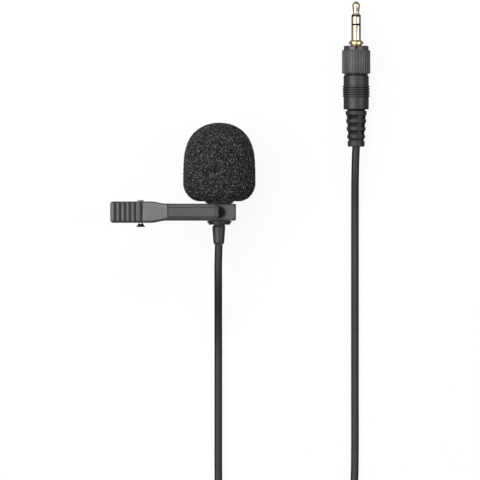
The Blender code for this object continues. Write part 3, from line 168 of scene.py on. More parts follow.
class Surface(Nodes):
    """The nodes of a material, with its patterns' sizes in millimetres."""

    def __init__(self, name):
        self.material = bpy.data.materials.new(name)
        super().__init__(self.material)
        self.shader = self.tree.nodes["Principled BSDF"]
        self.places = self.add("ShaderNodeTexCoord").outputs
        self.object = self.places["Object"]

    def stretched(self, scale):
        values = {"Vector": self.object, "Scale": scale}
        return self.add("ShaderNodeMapping", values).outputs["Vector"]

    def noise(self, size, detail=3, vector=None):
        values = {
            "Vector": vector or self.object,
            "Scale": 1 / (size * MM),
            "Detail": detail,
            "Roughness": 0.6,
        }
        return self.add("ShaderNodeTexNoise", values).outputs["Fac"]

    def cells(self, size):
        values = {"Vector": self.object, "Scale": 1 / (size * MM)}
        return self.add("ShaderNodeTexVoronoi", values).outputs

    def mark(self, name):
        """A value that a mesh carries at its points."""
        return self.add("ShaderNodeAttribute", attribute_name=name).outputs["Fac"]

    def edges(self):
        return self.add("ShaderNodeNewGeometry").outputs["Pointiness"]

    def ramp(self, factor, low, high, start=0.0, end=1.0):
        values = {
            "Value": factor, "From Min": low, "From Max": high, "To Min": start, "To Max": end,
        }
        return self.add("ShaderNodeMapRange", values, clamp=True).outputs["Result"]

    def mix(self, factor, a, b):
        values = {"Factor": factor, 6: a, 7: b}
        return self.add("ShaderNodeMix", values, data_type="RGBA").outputs[2]

    def bump(self, height, distance, strength=1.0, normal=None):
        values = {"Height": height, "Distance": distance * MM, "Strength": strength}
        if normal:
            values["Normal"] = normal
        return self.add("ShaderNodeBump", values).outputs["Normal"]

    def set(self, **inputs):
        for key, value in inputs.items():
            self.put(self.shader.inputs[key.replace("_", " ")], value)
        return self.material


def grey(value):
    return (value, value, value)


def shade(colour, factor):
    return tuple(min(1.0, c * factor) for c in colour)


def plastic(name, colour, roughness, grain=0.16, grain_height=0.006, wear=0.5, specular=0.5):
    """Moulded plastic or rubber: a fine grain, faint flow clouds and paler rubbed edges. Where a
    piece marks painted shade, the surface is rougher, being unpolished by handling, and painted
    darker as shade."""
    n = Surface(name)
    painted_shade = n.mark("painted_shade")
    mottle = n.noise(0.9)
    base = n.mix(n.ramp(n.noise(5.0, 4), 0.4, 0.6), shade(colour, 0.92), shade(colour, 1.08))
    base = n.mix(n.ramp(mottle, 0.35, 0.65, 0, 0.30), base, shade(colour, 0.55))
    base = n.mix(n.ramp(n.noise(0.5, 2), 0.55, 0.75, 0, 0.35), base, shade(colour, 1.7))
    patches = n.ramp(n.noise(1.6, 4), 0.42, 0.66)
    rubbed = n.maths("MULTIPLY", n.ramp(n.edges(), 0.53, 0.62, 0, wear), patches)
    base = n.mix(rubbed, base, shade(colour, 2.4))
    # painted shade: the marked hollows, grooves and shaded places are painted darker
    base = n.mix(painted_shade, base, shade(colour, 0.12))
    rough = n.ramp(mottle, 0.35, 0.65, roughness - 0.04, roughness + 0.05)
    rough = n.maths("SUBTRACT", rough, n.maths("MULTIPLY", rubbed, 0.12))
    rough = n.maths("ADD", rough, n.maths("MULTIPLY", painted_shade, 0.35))
    normal = n.bump(n.noise(grain, 2), grain_height)
    normal = n.bump(n.noise(grain * 6), grain_height * 1.5, 0.6, normal)
    return n.set(Base_Color=base, Roughness=rough, Normal=normal, Specular_IOR_Level=specular)


def turned_metal(name, colour, roughness, metallic=1.0, specular=0.5):
    """Plated turned metal: lathe lines round the axis, faint tarnish and handling marks, and painted
    shade, rougher too, where a piece marks it.
    """
    n = Surface(name)
    painted_shade = n.mark("painted_shade")
    lines = n.noise(1.0, 3, n.stretched((0.15, 50, 0.15)))
    base = n.mix(n.ramp(n.noise(3.0, 5), 0.35, 0.7), shade(colour, 1.04), shade(colour, 0.90))
    base = n.mix(n.ramp(lines, 0.35, 0.7, 0, 0.35), base, shade(colour, 0.86))
    base = n.mix(n.ramp(n.edges(), 0.53, 0.60, 0, 0.4), base, shade(colour, 1.5))
    # painted shade: the marked grooves and notches are painted darker
    base = n.mix(painted_shade, base, shade(colour, 0.15))
    rough = n.ramp(n.noise(1.4, 4), 0.4, 0.7, roughness * 0.85, roughness * 1.3)
    rough = n.maths("ADD", rough, n.ramp(lines, 0.4, 0.8, 0, roughness * 0.2))
    rough = n.maths("ADD", rough, n.maths("MULTIPLY", painted_shade, 0.4))
    n.set(Normal=n.bump(lines, 0.0010, 0.5), Specular_IOR_Level=specular)
    return n.set(Base_Color=base, Roughness=rough, Metallic=metallic)


def foam_material():
    """Open-cell foam: pale struts round cells painted dark as the shade inside them, with finer
    cells inside them. Some facets are painted bright as glints and some nearly black as shade, at
    random."""
    n = Surface("open_cell_foam")
    pore = n.mark("pore")
    fine = n.ramp(n.cells(0.26)["Distance"], 0.15, 0.75)
    # painted light: a random value for each facet picks painted glints and painted shade
    facet = n.add("ShaderNodeSeparateColor", {"Color": n.cells(0.33)["Color"]}).outputs[0]
    struts = n.mix(n.ramp(n.noise(4.0), 0.3, 0.7), grey(0.029), grey(0.040))
    struts = n.mix(n.ramp(facet, 0.62, 0.95), struts, grey(0.23))
    struts = n.mix(n.ramp(facet, 0.45, 0.15), struts, grey(0.006))
    base = n.mix(n.ramp(fine, 0, 1, 0, 0.4), struts, grey(0.014))
    # painted shade: the pores are painted nearly black
    base = n.mix(pore, base, grey(0.002))
    height = n.maths("SUBTRACT", n.maths("MULTIPLY", fine, 0.5), pore)
    n.set(Sheen_Weight=0.04, Sheen_Roughness=0.5, Specular_IOR_Level=0.2)
    return n.set(Base_Color=base, Roughness=0.92, Normal=n.bump(height, 0.10, 0.8))


def cord_material():
    """Soft cable sheath: a matt skin with dust and rubbed places, and painted shade down its sides,
    where they turn away from the light."""
    n = Surface("cable_sheath")
    base = n.mix(n.ramp(n.noise(9.0), 0.3, 0.7), grey(0.026), grey(0.034))
    base = n.mix(n.ramp(n.noise(0.9, 4), 0.60, 0.78, 0, 0.12), base, grey(0.045))
    # painted shade: darker where the surface turns from facing up to facing sideways
    upward = n.add("ShaderNodeSeparateXYZ", {"Vector": n.places["Normal"]}).outputs["Z"]
    base = n.mix(n.ramp(upward, 0.95, 0.40), base, grey(0.003))
    rough = n.ramp(n.noise(2.5, 4), 0.3, 0.7, 0.44, 0.54)
    n.set(Normal=n.bump(n.noise(0.22), 0.005, 0.5), Specular_IOR_Level=0.35)
    return n.set(Base_Color=base, Roughness=rough)


def mesh_material():
    """Fine woven wire cloth."""
    n = Surface("wire_cloth")
    weave = n.cells(0.14)["Distance"]
    base = n.mix(n.ramp(weave, 0.2, 0.6), (0.42, 0.42, 0.43), grey(0.02))
    return n.set(Base_Color=base, Roughness=0.35, Metallic=0.9, Normal=n.bump(weave, 0.03))


def board_material():
    """Circuit board: solder mask over copper tracks."""
    n = Surface("circuit_board")
    tracks = n.ramp(n.noise(0.9, 1, n.stretched((1, 1, 0.3))), 0.48, 0.52)
    base = n.mix(tracks, (0.010, 0.075, 0.030), (0.020, 0.150, 0.060))
    return n.set(Base_Color=base, Roughness=0.32, Normal=n.bump(tracks, 0.02))


LOOKS = {
    "clip": plastic("clip_plastic", grey(0.066), 0.37, specular=0.9),
    # painted shade: the clip's own plastic made darker, standing in for the front jaw's shadow on
    # the rear jaw
    "rear": plastic("rear_jaw_plastic_painted_darker", grey(0.016), 0.45, specular=0.4),
    "ring": plastic("ring_plastic", grey(0.080), 0.42, specular=0.6),
    "dark": plastic("dark_plastic", grey(0.008), 0.42, wear=0.3, specular=0.4),
    "cap": plastic("cap_plastic", grey(0.030), 0.42, wear=0.3),
    "insulator": plastic("contact_insulator", grey(0.005), 0.50, wear=0.1, specular=0.15),
    "rivet": plastic("rivet_black", grey(0.004), 0.55, wear=0.1, specular=0.15),
    "relief": plastic("relief_rubber", grey(0.034), 0.36, 0.22, 0.008),
    "boot": plastic("boot_rubber", grey(0.022), 0.50, 0.22, 0.008),
    "barrel": turned_metal("black_barrel", grey(0.020), 0.40, 0.0, 0.6),
    "collar": turned_metal("black_collar", grey(0.048), 0.34, 0.0, 0.8),
    "housing": turned_metal("black_housing", grey(0.040), 0.38, 0.0),
    "gold": turned_metal("gold_plate", (0.82, 0.70, 0.50), 0.09),
    "rich_gold": turned_metal("flange_gold", (0.92, 0.68, 0.34), 0.18),
    "brass": turned_metal("tinned_brass", (0.62, 0.48, 0.26), 0.32),
    "steel": turned_metal("nickelled_steel", (0.55, 0.55, 0.56), 0.28),
    "can": turned_metal("drawn_aluminium", (0.72, 0.72, 0.74), 0.34),
    "red": plastic("red_sheath", (0.40, 0.025, 0.018), 0.42),
    "white": plastic("white_sheath", (0.70, 0.70, 0.67), 0.45, wear=0.0),
    "tie": plastic("tie_rubber", (0.022, 0.022, 0.023), 0.60, 0.3, 0.012),
    "cord": cord_material(),
    "foam": foam_material(),
    "mesh": mesh_material(),
    "board": board_material(),
}


# ---- Meshes ----


def arc(x, y, radius, start, end, steps):
    """Points round a circle's centre, from one angle in degrees to another."""
    angles = np.radians(np.linspace(start, end, steps + 1))
    return [(x + radius * math.cos(a), y + radius * math.sin(a)) for a in angles]


def rounded(points, radius, closed=False, steps=3):
    """A flat line of points with its corners rounded."""
    count = len(points)
    out = []
    for i, point in enumerate(points):
        if not closed and i in (0, count - 1):
            out.append(point)
            continue
        here = Vector(point)
        before = Vector(points[i - 1]) - here
        after = Vector(points[(i + 1) % count]) - here
        if before.length < 1e-6 or after.length < 1e-6 or before.angle(-after) < 0.16:
            out.append(point)
            continue
        cut = min(radius, 0.45 * before.length, 0.45 * after.length)
        start = here + before.normalized() * cut
        end = here + after.normalized() * cut
        for t in np.linspace(0, 1, steps + 1):
            out.append(tuple(start * (1 - t) ** 2 + here * 2 * t * (1 - t) + end * t * t))
    return out


def new_mesh(name, verts, faces):
    """A closed mesh from points in millimetres, its faces turned outwards."""
    mesh = bpy.data.meshes.new(name)
    mesh.from_pydata([(x * MM, y * MM, z * MM) for x, y, z in verts], [], faces)
    shape = bmesh.new()
    shape.from_mesh(mesh)
    bmesh.ops.remove_doubles(shape, verts=shape.verts, dist=1e-7)
    bmesh.ops.recalc_face_normals(shape, faces=shape.faces)
    shape.to_mesh(mesh)
    shape.free()
    return mesh


def new_object(name, data):
    obj = bpy.data.objects.new(name, data)
    bpy.context.scene.collection.objects.link(obj)
    return obj


def band_faces(rows, loop=False):
    """Faces between neighbouring rows of points, where each row closes on itself, and between
    the last row and the first in a loop."""
    faces = []
    for one, two in [*zip(rows, rows[1:]), *([(rows[-1], rows[0])] if loop else [])]:
        for i in range(len(one)):
            j = (i + 1) % len(one)
            face = tuple(dict.fromkeys((one[i], one[j], two[j], two[i])))
            if len(face) > 2:
                faces.append(face)
    return faces


def stairs(radius, y, *turns):
    """A profile whose points change in radius and in y by turns."""
    points = [(radius, y)]
    for n, value in enumerate(turns):
        radius, y = (radius, value) if n % 2 else (value, y)
        points.append((radius, y))
    return points


def revolve(name, origin, profile, corner=0, steps=96, corner_steps=3):
    """A piece turned round an axis along Y, its corners rounded. The profile is (radius, y)
    points, from an axis point to an axis point, or a closed loop where none lies on the axis."""
    closed = min(r for r, _ in profile) > 1e-6
    if corner:
        profile = rounded(profile, corner, closed, corner_steps)
    turns = np.linspace(0, 2 * math.pi, steps, endpoint=False)
    verts, rows = [], []
    for radius, y in profile:
        if radius < 1e-6:
            rows.append([len(verts)] * steps)
            verts.append((origin.x, origin.y + y, origin.z))
            continue
        rows.append(range(len(verts), len(verts) + steps))
        verts += [
            (origin.x + radius * math.cos(a), origin.y + y, origin.z + radius * math.sin(a))
            for a in turns
        ]
    return new_object(name, new_mesh(name, verts, band_faces(rows, closed)))


def revolve_upright(name, top, profile, corner=0):
    """A piece turned round the swivel's axis. The profile is (radius, height above top) points."""
    piece = revolve(name, Vector((0, 0, 0)), profile, corner, 64)
    piece.data.transform(Matrix.Rotation(math.radians(90), 4, "X"))
    piece.data.transform(Matrix.Translation(Vector((SWIVEL.x, SWIVEL.y, top)) * MM))
    return piece


def rings_mesh(name, rings, caps=True):
    """A solid through closed rings of points with equal counts, capped or bent into a loop."""
    count = len(rings[0])
    rows = [range(k * count, (k + 1) * count) for k in range(len(rings))]
    faces = band_faces(rows, not caps)
    if caps:
        faces += [tuple(rows[0]), tuple(rows[-1])]
    return new_object(name, new_mesh(name, [point for ring in rings for point in ring], faces))


def tube(name, points, radius, resolution):
    """A curve with a round section through points."""
    curve = bpy.data.curves.new(name, "CURVE")
    curve.dimensions = "3D"
    curve.bevel_depth = radius * MM
    curve.bevel_resolution = resolution
    curve.use_fill_caps = True
    spline = curve.splines.new("POLY")
    spline.points.add(len(points) - 1)
    for point, place in zip(spline.points, points):
        point.co = (*(place * MM), 1)
    spline.use_smooth = True
    return new_object(name, curve)


def drawn_in(loop, width_at):
    """A closed flat loop, drawn in along its normals by a width that depends on the point."""
    count = len(loop)
    area = sum(
        loop[i - 1][0] * loop[i][1] - loop[i][0] * loop[i - 1][1] for i in range(count)
    )
    turn = 1 if area > 0 else -1
    out = []
    for i, (x, y) in enumerate(loop):
        before = Vector(loop[i - 1])
        after = Vector(loop[(i + 1) % count])
        tangent = (after - before).normalized()
        step = Vector((-tangent.y, tangent.x)) * turn * width_at(i, x, y)
        out.append((x + step.x, y + step.y))
    return out


def boolean(obj, tools, operation="DIFFERENCE"):
    """Cuts or joins an object with tools, and removes the tools."""
    for tool in tools:
        step = obj.modifiers.new("boolean", "BOOLEAN")
        step.operation = operation
        step.object = tool
    bpy.context.view_layer.update()
    graph = bpy.context.evaluated_depsgraph_get()
    mesh = bpy.data.meshes.new_from_object(obj.evaluated_get(graph))
    obj.modifiers.clear()
    obj.data = mesh
    for tool in tools:
        bpy.data.objects.remove(tool)
    return obj


def directions(turn):
    """The way out from an axis along Y at an angle, and the way round it."""
    return Vector((math.sin(turn), 0, math.cos(turn))), Vector((math.cos(turn), 0, -math.sin(turn)))


def set_painted_shade(obj, depth_at):
    """Marks how much painted shade each point of a piece gets, from 0 to 1, mostly by how deep it
    lies in a hollow.
    """
    mesh = obj.data
    places = np.zeros(len(mesh.vertices) * 3)
    mesh.vertices.foreach_get("co", places)
    values = [min(1.0, max(0.0, depth_at(*place))) for place in places.reshape(-1, 3) / MM]
    mesh.attributes.new("painted_shade", "FLOAT", "POINT").data.foreach_set("value", values)


def finish(obj, look, slot, *nodes, body="microphone", angle=32, painted_shade=None):
    """Gives a piece its material, smooth shading and marks of painted shade, and sets it on its body
    for its nodes."""
    if painted_shade:
        set_painted_shade(obj, painted_shade)
    obj.data.materials.clear()
    obj.data.materials.append(LOOKS[look])
    if obj.type == "MESH":
        obj.data.shade_smooth()
        obj.data.set_sharp_from_angle(angle=math.radians(angle))
    if body:
        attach(obj, body)
    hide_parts(*nodes)


# ---- Cord ----

CORD_RADIUS = 1.425
CORD_BORE = 1.485  # of the relief and the boot, round the cord
RELIEF_LEAN = 0.2
EXIT_Y = span("mic_strain_relief", MIC)[0]
PLUG_EXIT_Y = span("plug_boot", PLUG)[0]
COIL_X, COIL_Y, COIL_MEAN, COIL_TURNS, COIL_SPACING = 24.6, -127.0, 16.2, 4.5, 3.3
COIL_LOW = CORD_RADIUS + 0.7
COIL_HIGH = COIL_LOW + COIL_SPACING
COIL_OUTER = COIL_MEAN + COIL_TURNS * COIL_SPACING / 2
COIL_START_Y = COIL_Y + 2 * CORD_RADIUS + 0.3
POINT_SPACING = 1.5

# The routes from the microphone and from the plug to the coil, from GROUND
MIC_ROUTE = [
    (-0.3, -14.8, 13.17), (-0.4, -18.8, 13.05), (-0.4, -24.5, 11.90), (-0.4, -31.0, 9.05),
    (-0.4, -37.5, 5.65), (-0.4, -44.0, 3.10), (-0.4, -50.5, 1.80), (-0.4, -58.0, 1.425),
    (-0.4, -70.0, 1.425), (-0.4, -82.0, 1.425), (-0.4, -93.0, 1.425), (-0.3, -101.0, 1.45),
    (0.0, -109.0, 1.65), (0.6, -116.5, 2.00),
]
PLUG_ROUTE = [
    (49.8, 20.5, 5.17), (49.7, 16.5, 5.00), (49.6, 10.5, 4.00), (49.6, 4.0, 2.45),
    (49.6, -3.0, 1.60), (49.6, -11.0, 1.425), (49.6, -30.0, 1.425), (49.6, -50.0, 1.425),
    (49.6, -70.0, 1.425), (49.6, -86.0, 1.425), (49.5, -95.0, 1.60), (49.2, -102.0, 2.40),
    (48.8, -109.0, 3.85), (48.4, -116.0, 5.05),
]


def resample(points, spacing, least=1):
    """Evenly spaced points along a line."""
    points = np.array(points)
    along = np.concatenate([[0], np.cumsum(np.linalg.norm(np.diff(points, axis=0), axis=1))])
    places = np.linspace(0, along[-1], max(least, round(along[-1] / spacing) + 1))
    return [tuple(np.interp(s, along, column) for column in points.T) for s in places]


def smooth_route(route):
    """Evenly spaced points on a smooth curve through the route's own points."""
    points = np.array(route)
    stops = np.concatenate([[0], np.cumsum(np.linalg.norm(np.diff(points, axis=0), axis=1))])
    slopes = np.gradient(points, stops, axis=0)
    fine = []
    for a, b, pa, pb, ma, mb in zip(stops, stops[1:], points, points[1:], slopes, slopes[1:]):
        for t in np.linspace(0, 1, 24, endpoint=False):
            h = (2 * t**3 - 3 * t**2 + 1, t**3 - 2 * t**2 + t, 3 * t**2 - 2 * t**3, t**3 - t**2)
            fine.append(h[0] * pa + h[1] * (b - a) * ma + h[2] * pb + h[3] * (b - a) * mb)
    return resample(fine + [points[-1]], POINT_SPACING, 3)


def coil_route(steps_per_turn):
    """The coil: it spirals in on the surface, climbs, and spirals out on top of itself."""
    total = 2 * COIL_TURNS + 0.5
    points = []
    for step in range(round(steps_per_turn * total) + 1):
        turn = step / steps_per_turn
        radius = COIL_OUTER - COIL_SPACING * min(turn, total - turn)
        share = min(max((turn - COIL_TURNS) / 0.5, 0), 1)
        height = COIL_LOW + (COIL_HIGH - COIL_LOW) * share**2 * (3 - 2 * share)
        angle = math.pi + 2 * math.pi * turn
        points.append((COIL_X + radius * math.cos(angle), COIL_Y + radius * math.sin(angle), height))
    return points


def make_cord():
    """The whole cord as one line, from the strain relief through the coil to the plug."""
    coil_in = (COIL_X - COIL_OUTER, COIL_START_Y, COIL_LOW)
    coil_out = (COIL_X + COIL_OUTER, COIL_START_Y, COIL_HIGH)
    first = smooth_route([(-RELIEF_LEAN, EXIT_Y, mic_z), *MIC_ROUTE, coil_in])
    last = smooth_route([(plug_x - mic_x, PLUG_EXIT_Y, plug_z), *PLUG_ROUTE, coil_out])
    line = first + coil_route(64) + last[::-1]
    points = [GROUND + Vector((x, y, max(z, CORD_RADIUS))) for x, y, z in line]
    cord = tube("cord", points, CORD_RADIUS, 5)
    nodes = ("cord_mic_run", "cord_coil", "cord_plug_run")
    finish(cord, "cord", "black_rubber", *nodes)
    return cord, tuple((GROUND + Vector((0, EXIT_Y, mic_z))) * MM)


def make_tie():
    """The moulded strap round the coil's turns."""
    room = CORD_RADIUS + SEAT_GAP
    inner_radius = COIL_MEAN - COIL_TURNS * COIL_SPACING / 2
    near = -COIL_OUTER + COIL_SPACING / 4 - room
    far = -inner_radius - COIL_SPACING / 4 + room
    low, high = COIL_LOW - room, COIL_HIGH + room
    thick, half = 0.4, 1.25

    def strap(grow):
        corner = room + grow
        left, right = near - grow + corner, far + grow - corner
        bottom, top = low - grow + corner, high + grow - corner
        middles = ((right, bottom), (right, top), (left, top), (left, bottom))
        arcs = [arc(*p, corner, 90 * n - 90, 90 * n, 8) for n, p in enumerate(middles)]
        return [point for quarter in arcs for point in quarter]

    section = [(-half, 0), (half, 0), (half, thick), (-half, thick)]
    rings = []
    for across, grow in rounded(section, thick * 0.4, True, 4):
        rings.append([(mic_x + COIL_X + across, mic_y + COIL_Y + y, z) for y, z in strap(grow)])
    tie = rings_mesh("coil_strap", rings, caps=False)
    finish(tie, "tie", "black_rubber", "coil_tie")


# ---- Microphone ----

FOAM_SHOULDER = 6.67
FOAM_LIP = 1.5
FOAM_DOME_POWER = 3.7
FOAM_SPACING = 0.20
FOAM_STEPS = 416
BORE_ROOM = 0.1
CELL = 0.80
CELL_DEPTH = 0.38
CELL_WALL = 0.50 * CELL
SWELL_SIZE, SWELL_DEPTH = 4.0, 0.05
ROUGH_SIZE, ROUGH_DEPTH = 0.7, 0.16


def foam_pores(places, radius, top):
    """How deep each place lies in a foam cell, from 0 on a strut to 1 in a pore."""
    low, high = places.min(0) - CELL, places.max(0) + CELL
    axes = [np.arange(a, b, CELL) for a, b in zip(low, high)]
    seeds = np.stack(np.meshgrid(*axes, indexing="ij"), -1).reshape(-1, 3)
    seeds += np.random.default_rng(7).uniform(-0.5, 0.5, seeds.shape) * CELL
    outer = np.hypot(seeds[:, 0], seeds[:, 2])
    seeds = seeds[(outer > radius * 0.35) | (seeds[:, 1] > top - 4)]
    tree = kdtree.KDTree(len(seeds))
    for i, seed in enumerate(seeds):
        tree.insert(seed, i)
    tree.balance()
    pores = np.zeros(len(places))
    for i, place in enumerate(places):
        (_, _, near), (_, _, next_near) = tree.find_n(place, 2)
        wall = min(1.0, (next_near - near) / CELL_WALL)
        pores[i] = wall * wall * (3 - 2 * wall)
    return pores


def make_windscreen():
    """The foam ball, with its cells cut into its surface."""
    base, top = span("windscreen", MIC)
    radius, head = radius_of("windscreen"), radius_of("grille")
    bore = head + BORE_ROOM
    roof = span("grille", MIC)[1] + SEAT_GAP
    foot = head + SEAT_GAP + FOAM_LIP
    widest = base + FOAM_SHOULDER
    dome = []
    for share in np.sin(np.linspace(math.pi / 2, 0, 90)):
        r = radius * math.sqrt(max(0, 1 - share**FOAM_DOME_POWER))
        dome.append((r, widest + share * (top - widest)))
    lower = []
    for angle in np.linspace(0, math.pi / 2, 60)[1:]:
        r = foot + (radius - foot) * math.cos(angle)
        lower.append((r, widest - FOAM_SHOULDER * math.sin(angle)))
    outside = resample([*dome, *lower, (bore + 0.5, base)], FOAM_SPACING)
    inside = [(bore + 0.15, base + 0.1), (bore, base + 0.5)]
    inside += resample([(bore, base + 1), (bore, roof)], 1.0) + [(bore * 0.5, roof), (0, roof)]
    ball = revolve("foam_windscreen", MIC, outside + inside, steps=FOAM_STEPS)
    mesh = ball.data
    places, normals = np.zeros((2, len(mesh.vertices) * 3))
    mesh.vertices.foreach_get("co", places)
    mesh.vertices.foreach_get("normal", normals)
    places = places.reshape(-1, 3) / MM - np.array(MIC)
    pores = foam_pores(places, radius, top)
    skin = np.hypot(places[:, 0], places[:, 2]) > bore + 0.3
    skin |= places[:, 1] > roof + 0.5
    swell = np.array([noise.noise(Vector(p) / SWELL_SIZE) for p in places])
    rough = np.array([noise.noise(Vector(p) / ROUGH_SIZE) for p in places])
    depth = np.where(skin, CELL_DEPTH * pores - SWELL_DEPTH * swell - ROUGH_DEPTH * rough, 0)
    moved = (places - normals.reshape(-1, 3) * depth[:, None] + np.array(MIC)) * MM
    mesh.vertices.foreach_set("co", moved.ravel())
    mesh.attributes.new("pore", "FLOAT", "POINT").data.foreach_set("value", pores)
    mesh.update()
    finish(ball, "foam", "black_foam", "windscreen", body="windscreen", angle=60)


def make_housing():
    """The capsule housing's waist and head, the grille and the end cap."""
    low, high = span("capsule_housing", MIC)
    head, waist, wall = radius_of("capsule_housing"), 4.5, 0.7
    step = span("holder_ring", MIC)[1] + SEAT_GAP
    shoulder = step + wall
    profile = stairs(
        head - wall, high, head, step, waist, low, waist - wall, shoulder, head - wall
    )
    housing = revolve("mic_housing", MIC, profile, 0.18)
    finish(housing, "housing", "satin_black", "capsule_housing")

    low, high = span("grille", MIC)
    base, plate = high - 2.4, high - 0.6
    skirt, bore = head - wall - TURN_GAP, head - wall - 0.68
    profile = [(0, high), (head - 0.35, high)]
    profile += stairs(head, high - 0.35, head, base, skirt, low, bore, plate, 0)[1:]
    grille = revolve("mic_grille", MIC, profile, 0.2)
    hole, sink = 0.6, 0.95
    cutter = [(0, high + 0.3), (sink, high + 0.3), (hole, high - 0.12), (hole, low), (0, low)]
    spots = [*arc(0, 0, 2.3, 0, 300, 5), (0, 0)]
    holes = [revolve("hole", MIC + Vector((x, 0, z)), cutter, steps=32) for x, z in spots]
    boolean(grille, holes)
    finish(grille, "housing", "black_metal", "grille")

    low, high = span("end_cap", MIC)
    rim = radius_of("end_cap")
    top = span("holder_ring", MIC)[0] - TURN_GAP
    hole, spigot, wall, floor = 2.065, 3.72, 0.7, 0.7
    bore, flange, bead = spigot - wall, top - 0.75, rim - 0.5
    profile = stairs(bore, high, spigot, top, rim, flange, bead, low, hole, low + floor, bore)
    finish(revolve("mic_end_cap", MIC, profile, 0.14), "cap", "satin_black", "end_cap")


def make_relief():
    """The tapered strain relief, with the moulded groove under its lip. Past the cap it leans."""
    low, high = span("mic_strain_relief", MIC)
    flange = radius_of("mic_strain_relief")
    top = span("end_cap", MIC)[0] - SEAT_GAP
    seat = high - 0.6
    neck, wide, narrow, groove = 1.985, 2.38, 1.98, 0.16
    profile = [
        (CORD_BORE, high), (flange, high), (flange, seat), (neck, seat), (neck, top),
        (wide - 0.05, top), (wide, top - 0.35), (wide - groove, top - 0.5), (wide, top - 0.65),
        (narrow, low + 0.45), (narrow - 0.35, low), (CORD_BORE, low),
    ]
    relief = revolve("strain_relief", MIC, profile, 0.22, corner_steps=4)
    for vertex in relief.data.vertices:
        past_cap = top + 0.1 - (vertex.co.y / MM - MIC.y)
        vertex.co.x -= RELIEF_LEAN * MM * min(1.0, max(0.0, past_cap / 0.3))
    finish(relief, "relief", "black_rubber", "mic_strain_relief", angle=40)


# ---- Clip ----

RING_BORE = 4.58
RING_RADIUS = RING_BORE + 1.5
RING_CORNER = 1.2
RING_SLIT = 1.6
RING_EDGE, RING_BORE_EDGE = 0.55, 0.12
RING_CURVE = ((0, 1.0), (0.06, 0.62), (0.20, 0.30), (0.38, 0.08), (0.55, 0.0))


def make_ring():
    """The holder ring, a C with a flat front."""
    front = front_z - mic_z
    low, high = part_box("holder_ring")
    half = (high.y - low.y) / 2 / MM
    outer_slit = math.degrees(math.asin(RING_SLIT / 2 / RING_RADIUS))
    inner_slit = math.degrees(math.asin(RING_SLIT / 2 / RING_BORE))
    corner_x, corner_z = RING_RADIUS - RING_CORNER, front - RING_CORNER
    outer = (
        arc(0, 0, RING_RADIUS, -90 + outer_slit, 0, 24)
        + [(RING_RADIUS, t * corner_z) for t in (0.25, 0.5, 0.75)]
        + arc(corner_x, corner_z, RING_CORNER, 0, 90, 12)
        + [(corner_x - t * 2 * corner_x, front) for t in np.linspace(0.1, 0.9, 9)]
        + arc(-corner_x, corner_z, RING_CORNER, 90, 180, 12)
        + [(-RING_RADIUS, t * corner_z) for t in (0.75, 0.5, 0.25)]
        + arc(0, 0, RING_RADIUS, 180, 270 - outer_slit, 24)
    )
    loop = outer + arc(0, 0, RING_BORE, 270 - inner_slit, -90 + inner_slit, 60)
    insets = [RING_EDGE] * len(outer) + [RING_BORE_EDGE] * (len(loop) - len(outer))
    levels = [(-half + y, share) for y, share in RING_CURVE]
    levels += [(half - y, share) for y, share in RING_CURVE[::-1]]
    rings = []
    for y, share in levels:
        drawn = drawn_in(loop, lambda i, x, z, s=share: s * insets[i])
        rings.append([(MIC.x + x, MIC.y + y, MIC.z + z) for x, z in drawn])
    ring = rings_mesh("ring_holder", rings)

    # painted shade: the ring's outer sides are painted darker
    def painted_side_shade(x, y, z):
        return (abs(x - mic_x) - RING_RADIUS + 0.45) / 0.4

    finish(
        ring, "ring", "matte_black", "holder_ring", body="holder", angle=40, painted_shade=painted_side_shade
    )


def make_rivet():
    """The swivel rivet, with its countersunk, drilled head."""
    low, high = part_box("swivel_rivet")
    top, bottom = high.z / MM, low.z / MM
    head, shank = (high.x - low.x) / 2 / MM, 0.9
    profile = [
        (0, -0.35), (0.45, -0.35), (0.60, 0), (head - 0.15, 0), (head, -0.12),
        (shank, -(head - shank) - 0.1), (shank, bottom - top), (0, bottom - top),
    ]
    rivet = revolve_upright("rivet", top, profile, 0.1)
    finish(rivet, "rivet", "satin_black", "swivel_rivet", body="holder")


GRIP_LENGTH, GRIP_HALF, GRIP_CORNER = 11.05, 3.9, 1.1
RAMP_LENGTH = 10.0
FLARE_START, FLARE_END = 3.6, RAMP_LENGTH - 0.6
ARM_HALF = 3.1
TIP_X, TIP_CORNER = 28.5, 2.1
EYE_X, EYE_RADIUS, EYE_SINK = 30.8, 2.2, 0.45
GRIP_END_Z, CREASE_Z, FOLD_Z = 5.0, 3.5, 4.3
JAW_WALL = 1.6
BITE = 0.15
BITE_X = TIP_X - 6.6
REAR_FLAT_X, REAR_FOLD_Z, REAR_WALL = 21.4, 1.2, 1.5
GROOVE_HALF, GROOVE_POWER = 0.86, 2.0
GROOVE_X = [-GRIP_LENGTH + 1.92 + 1.80 * n for n in range(5)]
CREASE_X = 0.3
TOOTH_X = [TIP_X - 5 + n for n in range(5)]
ACROSS = 10
PLATE_EDGE = 0.16
EAR_WIDTH = 0.8
PIN_RADIUS, PIN_BORE = 0.8, 0.88


def stops(*pairs):
    """Height along a jaw, in straight lines between its stops, softened at them."""
    xs, heights = zip(*pairs)

    def height(x):
        return sum(float(np.interp(x + d, xs, heights)) for d in (-0.18, -0.06, 0.06, 0.18)) / 4

    return height


def dip(x, centres, half, depth, power=1.6):
    """The depth of grooves at x, their sides curving up to a round ridge."""
    near = max(0.05, min(abs(x - c) for c in centres))
    return depth * (1 - near / half) ** power if near < half else 0.0


def flare_at(share, grip_half, arm_half):
    """A jaw's half width along its flare, from the grip at 0 to the arm at 1."""
    return arm_half + (grip_half - arm_half) * (1 + math.cos(math.pi * share)) / 2


